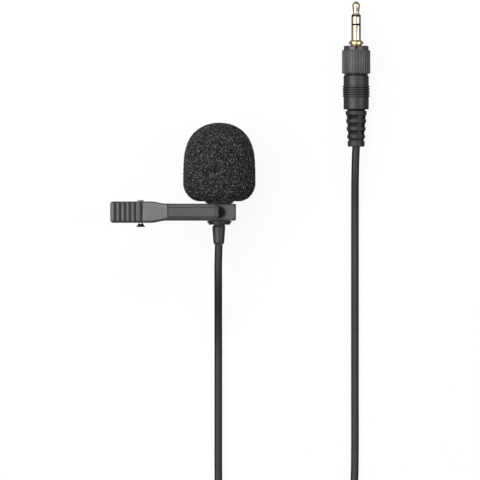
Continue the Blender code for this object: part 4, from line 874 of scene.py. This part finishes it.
def jaw_side(left, right, grip_half, arm_half, end_corner, tip_corner):
    """The upper side of a jaw's outline, from its grip's end to its tip."""
    side = arc(left + end_corner, grip_half - end_corner, end_corner, 180, 90, 10)
    grip_end = left + end_corner
    side += [(x, grip_half) for x in np.arange(grip_end + 0.08, 1.2, 0.08)]
    side += [(x, grip_half) for x in np.arange(1.6, FLARE_START, 0.5)]
    for share in np.linspace(0, 1, 16):
        x = FLARE_START + (FLARE_END - FLARE_START) * share
        side.append((x, flare_at(share, grip_half, arm_half)))
    side += [(x, arm_half) for x in np.arange(RAMP_LENGTH - 0.48, RAMP_LENGTH + 0.5, 0.08)]
    tip = right - tip_corner
    side += [(x, arm_half) for x in np.arange(RAMP_LENGTH + 0.8, tip - 0.1, 0.25)]
    side += arc(tip, arm_half - tip_corner, tip_corner, 90, 2, 16)
    return side


def make_plate(name, side_line, rim_rings, top_at, bottom_at, side):
    """A jaw's plate: a closed skin over its outline's rings, its top and bottom netted across.
    Side is 1 for the free jaw and -1 for the rear one. Rim rings are (inset, drop) at each x."""
    across = np.linspace(1, -1, ACROSS + 1)[1:-1]
    count = len(side_line)
    left_end, right_end = side_line[0], side_line[-1]
    loop = list(side_line)
    loop += [(right_end[0], right_end[1] * a) for a in across]
    loop += [(x, -y) for x, y in reversed(side_line)]
    loop += [(left_end[0], left_end[1] * a) for a in across[::-1]]
    levels = [
        (lambda x: PLATE_EDGE * 1.6, lambda x: bottom_at(x)),
        (lambda x: PLATE_EDGE * 0.5, lambda x: bottom_at(x) + PLATE_EDGE * 0.35),
        (lambda x: 0.0, lambda x: bottom_at(x) + PLATE_EDGE * 1.4),
    ]
    for inset, drop in rim_rings:
        levels.append((inset, lambda x, d=drop: top_at(x, 1.0) - d(x)))
    verts, rows = [], []
    for inset, height_at in levels:
        rows.append(list(range(len(verts), len(verts) + len(loop))))
        for x, y in drawn_in(loop, lambda i, x, y, f=inset: f(x)):
            verts.append((PIVOT.x + x, PIVOT.y + y, PIVOT.z + side * height_at(x)))
    faces = band_faces(rows)
    for row, height_at in ((rows[0], bottom_at), (rows[-1], lambda x: top_at(x, 0.0))):
        near = row[:count]
        far = row[count + ACROSS - 1 : 2 * count + ACROSS - 1][::-1]
        left, right = row[2 * count + ACROSS - 1 :][::-1], row[count : count + ACROSS - 1]
        columns = {0: left, count - 1: right}
        grid = []
        for i in range(count):
            inner = columns.get(i)
            if inner is None:
                inner = list(range(len(verts), len(verts) + ACROSS - 1))
                a, b = Vector(verts[near[i]]), Vector(verts[far[i]])
                for t in np.linspace(0, 1, ACROSS + 1)[1:-1]:
                    x, y, _ = a.lerp(b, t)
                    verts.append((x, y, PIVOT.z + side * height_at(x - PIVOT.x)))
            grid.append([near[i], *inner, far[i]])
        for one, two in zip(grid, grid[1:]):
            for k in range(ACROSS):
                faces.append((one[k], one[k + 1], two[k + 1], two[k]))
    return new_object(name, new_mesh(name, verts, faces))


def make_ears(jaw, ear_y, side):
    """Round-ended ears under a jaw's plate, drilled for the pin."""
    base = CREASE_Z - JAW_WALL + 0.25
    flat = [(-2.6, base), *arc(0, 0, 1.6, 200, 340, 28), (2.6, base)]
    ears = []
    for middle in (ear_y, -ear_y):
        rings = []
        for across, inset in ((-0.5, 0.12), (-0.36, 0), (0.36, 0), (0.5, 0.12)):
            y = PIVOT.y + middle + across * EAR_WIDTH
            drawn = drawn_in(flat, lambda i, x, z, s=inset: s)
            rings.append([(PIVOT.x + x, y, PIVOT.z + side * z) for x, z in drawn])
        ears.append(rings_mesh("ear", rings))
    boolean(jaw, ears, "UNION")
    hole = [(0, 6), (PIN_BORE, 6), (PIN_BORE, -6), (0, -6)]
    boolean(jaw, [revolve("pin_hole", PIVOT, hole, steps=48)])


def rim(points):
    """Rim rings from (share of the rim's width, share of its height) pairs."""
    return [(lambda x, s=s: s * rim_at(x), lambda x, h=h: h * 0.72 * rim_at(x)) for s, h in points]


def inset_at(x, y):
    """How far a point of the free jaw lies inside its outline."""
    share = min(1.0, max(0.0, (x - FLARE_START) / (FLARE_END - FLARE_START)))
    half = flare_at(share, GRIP_HALF, ARM_HALF)
    end, corner = (TIP_X - x, TIP_CORNER) if x > 0 else (GRIP_LENGTH + x, GRIP_CORNER)
    past_end, past_side = corner - end, corner - (half - y)
    if past_end > 0 and past_side > 0:
        return corner - math.hypot(past_end, past_side)
    return min(end, half - y)


def rim_at(x):
    """The rim's width: narrow round the grip, wide along the arm."""
    return float(np.interp(x, (RAMP_LENGTH - 2.5, RAMP_LENGTH + 0.4), (0.9, 1.25)))


def make_front_jaw():
    """The free jaw: ridged grip, ramp, and the arm with its sunk panel."""
    outer = stops(
        (-GRIP_LENGTH, GRIP_END_Z), (CREASE_X, CREASE_Z - 0.1), (RAMP_LENGTH, FOLD_Z + 0.2),
        (TIP_X, BITE + JAW_WALL),
    )
    inner = stops(
        (-GRIP_LENGTH, GRIP_END_Z - JAW_WALL), (0, CREASE_Z - JAW_WALL),
        (RAMP_LENGTH, FOLD_Z - JAW_WALL), (BITE_X, BITE), (TIP_X, BITE),
    )

    def past_fold(x):
        return min(1.0, max(0.0, (x - RAMP_LENGTH - 0.05) / 0.15))

    def top(x, edge):
        grooves = dip(x, GROOVE_X + [CREASE_X], GROOVE_HALF, 0.58, GROOVE_POWER)
        fold = dip(x, [RAMP_LENGTH], 0.30, 0.36, 1.0)
        return outer(x) - (1 - 0.5 * edge) * grooves - fold - 0.07 * past_fold(x) * (1 - edge)

    def bottom(x):
        return inner(x) + dip(x, TOOTH_X, 0.45, 0.28, 1.0)

    line = jaw_side(-GRIP_LENGTH, TIP_X, GRIP_HALF, ARM_HALF, GRIP_CORNER, TIP_CORNER)
    shape = ((0, 1), (0.03, 0.90), (0.10, 0.79), (0.20, 0.66), (0.33, 0.50), (0.45, 0.36))
    rings = rim((*shape, (0.62, 0.24), (0.80, 0.12), (0.94, 0.02), (1.0, 0.0)))
    rings.append((lambda x: rim_at(x) + 0.10, lambda x: 0.20 * past_fold(x)))
    rings.append((lambda x: rim_at(x) + 0.22, lambda x: top(x, 1.0) - top(x, 0.0)))
    jaw = make_plate("free_jaw", line, rings, top, bottom, 1)
    make_ears(jaw, 3.4, 1)

    # painted shade: the grip's grooves, the fold, the groove round the arm's panel and the rounded
    # outer edge are painted darker
    def sunk(x, y, z):
        x, y = x - PIVOT.x, abs(y - PIVOT.y)
        if z < PIVOT.z + 1.6:
            return 0.0
        grooves = dip(x, GROOVE_X + [CREASE_X], GROOVE_HALF, 1.8, GROOVE_POWER)
        grooves *= min(1.0, max(0.0, (GRIP_HALF - y) / 0.4))
        line = dip(x, [RAMP_LENGTH], 0.3, 1.0, 1.0)
        inset = inset_at(x, y)
        if x > RAMP_LENGTH:
            line = max(line, 1 - abs(inset - rim_at(x) - 0.10) / 0.16)
        return max(grooves, line, 0.95 - inset / 0.60)

    finish(jaw, "clip", "matte_black", "front_jaw", body="front_jaw", angle=40, painted_shade=sunk)


def make_rear_jaw():
    """The fixed jaw with its eye, countersunk for the rivet."""
    outer = stops(
        (-GRIP_LENGTH, GRIP_END_Z), (0, CREASE_Z), (RAMP_LENGTH, REAR_FOLD_Z + REAR_WALL),
        (REAR_FLAT_X, BITE + REAR_WALL), (EYE_X, BITE + REAR_WALL),
    )
    inner = stops(
        (-GRIP_LENGTH, GRIP_END_Z - JAW_WALL), (0, CREASE_Z - JAW_WALL),
        (RAMP_LENGTH, REAR_FOLD_Z), (REAR_FLAT_X, BITE), (TIP_X + 0.2, BITE),
        (TIP_X + 0.7, BITE + EYE_SINK), (EYE_X, BITE + EYE_SINK),
    )

    def top(x, edge):
        return outer(x) - (1 - 0.5 * edge) * dip(x, GROOVE_X, GROOVE_HALF, 0.50, GROOVE_POWER)

    def bottom(x):
        return inner(x) + dip(x, TOOTH_X, 0.45, 0.28, 1.0)

    half, corner = GRIP_HALF - 0.3, EYE_RADIUS - 0.02
    line = jaw_side(-GRIP_LENGTH, EYE_X, half, EYE_RADIUS, GRIP_CORNER, corner)
    rings = rim(((0, 0.3), (0.06, 0.15), (0.15, 0.05), (0.3, 0.0)))
    jaw = make_plate("fixed_jaw", line, rings, top, bottom, -1)
    make_ears(jaw, 2.22, -1)
    sink = [(0, 0.3), (1.95, 0.3), (1.9, -0.3), (1.72, -0.6), (0.98, -1.25), (0.98, -4), (0, -4)]
    boolean(jaw, [revolve_upright("sink", pivot_z - BITE, sink)])

    # painted shade: the middle of the eye's countersink, round the rivet, is painted dark
    def shaded(x, y, z):
        return (2.0 - math.hypot(x - mic_x, y - mic_y)) / 0.1 if z > pivot_z - 2.5 else 0.0

    finish(jaw, "rear", "matte_black", "rear_jaw", body="rear_jaw", angle=40, painted_shade=shaded)


def make_pin():
    """The pivot pin, its flared cap and the spring, whose legs press the grips apart."""
    low, high = span("pivot_pin", PIVOT)
    head, top, face = 1.25, high - 0.2, high - 0.5
    profile = [
        (0, top), (head - 0.3, top), (head, top - 0.1), (head, face), (PIN_RADIUS, face),
        (PIN_RADIUS, low + 0.15), (PIN_RADIUS - 0.15, low), (0, low),
    ]
    pin = revolve("pin", PIVOT, profile, 0.1, 64)
    finish(pin, "steel", "steel", "pivot_pin", body="rear_jaw")

    floor = low - NEST_GAP
    low, high = span("pin_retainer", PIVOT)
    flare, neck, bore, dimple = radius_of("pin_retainer"), 1.1, 0.86, low + 0.12
    profile = [
        (0, floor), (bore, floor), (bore, high), (neck, high), (neck, high - 0.55),
        (flare, low + 0.18), (flare, low), (0.5, low), (0.4, dimple), (0, dimple),
    ]
    cap = revolve("pin_cap", PIVOT, profile, 0.08, 64)
    finish(cap, "dark", "satin_black", "pin_retainer", body="rear_jaw")

    radius, coil, turns, pitch, leg, steps = 0.22, 1.32, 2.5, 0.92, 5.5, 80
    width = pitch * turns
    slope = (GRIP_END_Z - CREASE_Z) / GRIP_LENGTH
    grip = CREASE_Z - JAW_WALL + slope * leg - SEAT_GAP - radius
    points = [(-leg, -width / 2, grip)]
    for step in range(steps + 1):
        turn = 2 * math.pi * turns * step / steps
        across = -width / 2 + width * step / steps
        points.append((coil * math.sin(turn), across, coil * math.cos(turn)))
    points.append((-leg, width / 2, -grip))
    wire = tube("wire", [PIVOT + Vector(point) for point in points], radius, 3)
    bpy.context.view_layer.update()
    spring = new_object("torsion_spring", bpy.data.meshes.new_from_object(wire))
    bpy.data.objects.remove(wire)
    finish(spring, "steel", "steel", "jaw_spring", body=None)
    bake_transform(spring)


# ---- Plug ----

BAND_PITCH, BAND_GROOVES, GROOVE_WIDTH = 0.87, 5, 0.17
RIBS, RIB_DEPTH, NOTCHES = 30, 0.34, 8
RIB_SHAPE = (
    (0.00, 0.28), (0.05, 0.06), (0.12, 0.0), (0.44, 0.0), (0.51, 0.06), (0.56, 0.28),
    (0.68, 0.94), (0.78, 1.0), (0.88, 0.94),
)
RIM_CURVE = ((0, 0.42), (0.06, 0.26), (0.2, 0.1), (0.42, 0.0))
BOOT_RINGS, BOOT_PITCH, BOOT_RING, BOOT_LAST_RING = 5, 2.85, 1.25, 1.9
BOOT_END, BOOT_TAPER, BOOT_SUNK = 3.1, 0.19, 0.26
WINDOW_HALF, WINDOW_TURN, WINDOW_FLOOR, WINDOW_FAR = 1.7, -18, 1.935, 4.2


def make_contacts():
    """The plug's tip, ring and sleeve and the insulators between them."""
    low, high = span("plug_tip", PLUG)
    visible, flange = radius_of("ring_contact"), radius_of("sleeve_contact")
    low_band, high_band = (
        (span(node, PLUG)[1] - 0.58, span(node, PLUG)[1] + 0.03)
        for node in ("ring_insulator", "tip_insulator")
    )
    base = high_band[1]
    length = high - base
    profile = [
        (0, high), (0.40, high - 0.02), (0.74, high - 0.26), (1.10, high - 0.62),
        (1.36, high - 0.95), (1.45, high - 1.28), (1.40, high - 1.75),
        (1.25, base + length * 0.38), (1.10, base + length * 0.20), (1.08, base + length * 0.13),
        (1.42, base + length * 0.05), (1.62, base + 0.07), (1.62, base), (0.45, base),
        (0.45, low), (0, low),
    ]
    finish(revolve("contact_tip", PLUG, profile, 0.12), "gold", "gold", "plug_tip", angle=45)

    gold, black = ("gold", "gold"), ("insulator", "satin_black")
    ring_band = (low_band[1], high_band[0])
    rows = (
        ("insulator_front", "tip_insulator", 0.51, 0.75, visible - 0.06, high_band, black),
        ("contact_ring", "ring_contact", 0.81, 1.02, visible, ring_band, gold),
        ("insulator_rear", "ring_insulator", 1.08, 1.29, visible - 0.06, low_band, black),
    )
    for name, node, inner, outer, radius, (seat, front), surface in rows:
        rear = span(node, PLUG)[0]
        profile = stairs(inner, front, radius, seat, outer, rear, inner)
        finish(revolve(name, PLUG, profile, 0.07), *surface, node)

    rear = span("sleeve_contact", PLUG)[0]
    flange_base = span("collar_hub", PLUG)[1] + SEAT_GAP
    flange_top = flange_base + 1.1
    inner, outer = 1.35, 2.05
    profile = [
        (inner, low_band[0]), (visible, low_band[0]), (visible, flange_top + 0.4),
        (flange - 0.25, flange_top), (flange, flange_top - 0.2), (flange, flange_base + 0.15),
        (flange - 0.15, flange_base), (outer, flange_base), (outer, rear), (inner, rear),
    ]
    sleeve = revolve("contact_sleeve", PLUG, profile, 0.09)
    finish(sleeve, "gold", "gold", "sleeve_contact")
    sleeve.data.materials.append(LOOKS["rich_gold"])
    for face in sleeve.data.polygons:
        place = sleeve.data.vertices[face.vertices[0]].co / MM - PLUG
        face.material_index = int(place.y < flange_top + 0.2)


def make_hub():
    """The hub under the collar; its flange shows as a thin line behind the collar."""
    low, high = span("collar_hub", PLUG)
    high -= 0.5
    front = span("plug_barrel", PLUG)[1] + TURN_GAP
    collar = span("locking_collar", PLUG)[0]
    groove = collar + 1.4 + TURN_GAP
    flange, step = radius_of("collar_hub"), collar - TURN_GAP
    bore, shaft, waist, rear = 2.11, 3.2, 2.9, 3.74
    profile = stairs(
        bore, high, shaft, groove + 0.56, waist, groove - 0.06, shaft, step, flange, front, rear,
        low, bore,
    )
    finish(revolve("hub", PLUG, profile, 0.08), "dark", "black_metal", "collar_hub")


def make_collar():
    """The ribbed locking collar with its notched nose."""
    low, high = span("locking_collar", PLUG)
    radius = radius_of("locking_collar")
    nose, bore, lip = radius - 0.6, 3.9, 3.28
    step, tip, seat = high - 1.6, high - 0.05, low + 1.4

    def ring_at(y, shrink):
        points = []
        for n in range(RIBS):
            for share, sunk in RIB_SHAPE:
                turn = 2 * math.pi * (n + share) / RIBS
                r = min(radius - RIB_DEPTH * sunk, radius - shrink)
                place = (r * math.cos(turn), r * math.sin(turn))
                points.append((PLUG.x + place[0], PLUG.y + y, PLUG.z + place[1]))
        return points

    rings = [ring_at(low + y, shrink) for y, shrink in RIM_CURVE]
    rings += [ring_at(step - y, shrink) for y, shrink in RIM_CURVE[::-1]]
    collar = rings_mesh("collar", rings)
    root = step - 0.4
    profile = [(0, tip), (nose - 0.3, tip), (nose, tip - 0.3), (nose, root), (0, root)]
    boolean(collar, [revolve("nose", PLUG, profile, 0.12, 120)], "UNION")
    profile = [
        (0, high + 1), (bore + 0.1, high + 1), (bore + 0.1, tip), (bore, tip - 0.1),
        (bore, seat), (lip, seat), (lip, low - 1), (0, low - 1),
    ]
    tools = [revolve("collar_bore", PLUG, profile)]
    flat = arc(0, nose - 0.45, 0.5, 180, 360, 8) + [(0.5, nose + 0.5), (-0.5, nose + 0.5)]
    for n in range(NOTCHES):
        out, side = directions(2 * math.pi * n / NOTCHES)
        rings = []
        for y in (high - 1.4, high + 0.3):
            centre = PLUG + Vector((0, y, 0))
            rings.append([tuple(centre + side * a + out * (b + 0.48)) for a, b in flat])
        tools.append(rings_mesh("notch", rings))
    boolean(collar, tools)

    # painted shade: the floors of the nose's notches are painted darker
    def painted_notch_shade(x, y, z):
        depth = nose - 0.06 - math.hypot(x - PLUG.x, z - PLUG.z)
        return depth / 0.3 if y > PLUG.y + step - 0.1 else 0.0

    node = "locking_collar"
    finish(collar, "collar", "black_metal", node, body=node, angle=38, painted_shade=painted_notch_shade)


def make_barrel():
    """The barrel, with its raised, grooved band."""
    low, high = span("plug_barrel", PLUG)
    radius, raised, wall, neck = 4.62, 4.96, 0.8, 3.34
    bore, floor = radius - wall, radius - 0.04
    first = low + 4.2
    low -= 0.25
    grooves = [first + n * BAND_PITCH for n in range(BAND_GROOVES)]
    band = [(radius, first + 4.22), (raised, first + 4.14)]
    for middle in reversed(grooves):
        lower = radius if middle == first else raised
        band += [(raised, middle + GROOVE_WIDTH), (floor, middle + 0.08)]
        band += [(floor, middle - 0.08), (lower, middle - GROOVE_WIDTH)]
    profile = [
        (bore, high), (radius - 0.3, high), (radius, high - 0.3), *band, (radius, low + 0.2),
        (radius - 0.2, low), (neck, low), (neck, low + 1.45), (bore, low + 1.45),
    ]
    barrel = revolve("barrel", PLUG, profile, 0.1)

    # painted shade: the band's grooves are painted darker
    def painted_groove_shade(x, y, z):
        outside = math.hypot(x - PLUG.x, z - PLUG.z) > radius - 0.1
        return dip(y - PLUG.y, grooves, GROOVE_WIDTH, 1.6) if outside else 0.0

    finish(barrel, "barrel", "satin_black", "plug_barrel", angle=30, painted_shade=painted_groove_shade)


def make_boot():
    """The flexible boot, with windows between its rings."""
    low, high = span("plug_boot", PLUG)
    pitch, ring, end = BOOT_PITCH, BOOT_RING, BOOT_END
    top = low + 4 * pitch + ring + 0.22
    neck, flange, seat = end + 4 * BOOT_TAPER - 0.6, 3.52, high - 0.8
    profile = [(CORD_BORE, high), (flange, high), (flange, seat), (neck, seat), (neck, top)]
    for n in reversed(range(BOOT_RINGS)):
        radius = end + n * BOOT_TAPER
        base = low + n * pitch
        upper = {4: top, 0: base + BOOT_LAST_RING}.get(n, base + ring)
        profile += [(radius, upper), (radius, base if n else base - 0.2)]
        if n:
            core = radius - BOOT_SUNK
            below = BOOT_LAST_RING if n == 1 else ring
            profile += [(core, base), (core - BOOT_TAPER, base - pitch + below)]
    profile.append((CORD_BORE, low - 0.2))
    boot = revolve("boot", PLUG, profile, 0.2, 80, 4)
    tools = []
    for n in range(BOOT_RINGS - 1):
        below = ring if n else BOOT_LAST_RING
        middle = low + n * pitch + (pitch + below) / 2
        a, b = WINDOW_HALF, (pitch - below) / 2 - 0.12
        flat = rounded([(-a, -b), (a, -b), (a, b), (-a, b)], 0.3, True, 4)
        for quarter in range(4):
            out, side = directions(math.radians(WINDOW_TURN) + quarter * math.pi / 2)
            rings = []
            for reach in (WINDOW_FLOOR, WINDOW_FAR):
                centre = PLUG + Vector((0, middle, 0)) + out * reach
                rings.append([tuple(centre + side * x + Vector((0, y, 0))) for x, y in flat])
            tools.append(rings_mesh("window", rings))
    boolean(boot, tools)

    # painted shadow: the neck under the barrel and the floors between the rings are painted darker,
    # most in the strip that the ring above shades
    def sunk(x, y, z):
        if y > PLUG.y + top + 0.1:
            return 0.9
        depth = min(1.0, (end - math.hypot(x - PLUG.x, z - PLUG.z) - 0.1) / 0.4)
        under_ring = (PLUG.y + low - y) % pitch
        return depth * (0.9 if under_ring < 0.45 else 0.45)

    finish(boot, "boot", "black_rubber", "plug_boot", angle=38, painted_shade=sunk)


# ---- Nodes that stay ----

KEPT = {
    "mesh": ["acoustic_mesh"],
    "dark": ["capsule_gasket"],
    "can": ["electret_capsule"],
    "board": ["capsule_board"],
    "red": ["signal_lead", "plug_signal_lead"],
    "white": ["ground_lead", "plug_bias_lead"],
    "brass": ["cable_crimp", "cable_clamp", "tip_terminal", "ring_terminal"],
    "cord": ["mic_cable_end", "plug_cable_end"],
    "steel": ["collar_retainer"],
}


def dress_nodes():
    """Puts materials on the nodes that no piece replaces."""
    for look, names in KEPT.items():
        for name in names:
            node = frame["nodes"][name]
            node.data.materials.clear()
            node.data.materials.append(LOOKS[look])


# ---- Floor and light ----

FLOOR_HALF = 3.0
FLOOR_DROP = 0.00002
WHITE = grey(1)
AMBIENT = 0.15


def make_floor():
    """A pale floor that keeps the object's shadow, darker in the light that it sends back."""
    size = FLOOR_HALF
    mesh = bpy.data.meshes.new("floor")
    corners = [(-size, -size, 0), (size, -size, 0), (size, size, 0), (-size, size, 0)]
    mesh.from_pydata(corners, [], [(0, 1, 2, 3)])
    floor = new_object("floor", mesh)
    floor.location.z = min(0.0, cad_low.z) - FLOOR_DROP
    n = Surface("pale_floor")
    camera_ray = n.add("ShaderNodeLightPath").outputs["Is Camera Ray"]
    base = n.mix(camera_ray, grey(0.16), grey(0.95))
    n.set(Base_Color=base, Roughness=0.9, Specular_IOR_Level=0.1)
    glow = n.add("ShaderNodeEmission", {"Color": WHITE, "Strength": 1.0})
    n.show_white(0.92, 0.10, n.shader, glow, n.tree.nodes["Material Output"])
    mesh.materials.append(n.material)


def make_world():
    """Even light from all round, white where it is seen or mirrored."""
    world = bpy.data.worlds.new("studio")
    bpy.context.scene.world = world
    n = Nodes(world)
    n.tree.nodes.clear()
    plain = n.add("ShaderNodeBackground", {"Color": WHITE, "Strength": AMBIENT})
    white = n.add("ShaderNodeBackground", {"Color": WHITE, "Strength": 1.0})
    n.show_white(1.0, 0.12, plain, white, n.add("ShaderNodeOutputWorld"))


def make_light(name, direction, size, size_y, power):
    """A soft box that shines at the object."""
    data = bpy.data.lights.new(name, "AREA")
    data.shape = "RECTANGLE"
    data.size, data.size_y = size, size_y
    data.energy = power
    light = new_object(name, data)
    target = Vector((mic_x + VIEW_CENTRE[0], mic_y, 10)) * MM
    away = Vector(direction).normalized()
    light.location = target + away * LIGHT_DISTANCE
    light.rotation_euler = (-away).to_track_quat("-Z", "Y").to_euler()
    light.visible_camera = False


LIGHT_DISTANCE = 1.3
LIGHTS = (
    ("key", (-0.74, 0.10, 1.0), 1.15, 1.15, 13.5),
    ("fill", (1.00, 0.08, 1.0), 0.50, 0.90, 3.6),
    ("top", (0.0, 0.02, 1.0), 0.65, 1.30, 1.5),
    ("back", (-0.15, 1.0, 0.95), 0.50, 0.32, 5.0),
)

cord, exit_point = make_cord()
make_tie()
make_windscreen()
make_housing()
make_relief()
make_ring()
make_rivet()
make_front_jaw()
make_rear_jaw()
make_pin()
make_contacts()
make_hub()
make_collar()
make_barrel()
make_boot()
dress_nodes()
make_floor()
make_world()
for light in LIGHTS:
    make_light(*light)
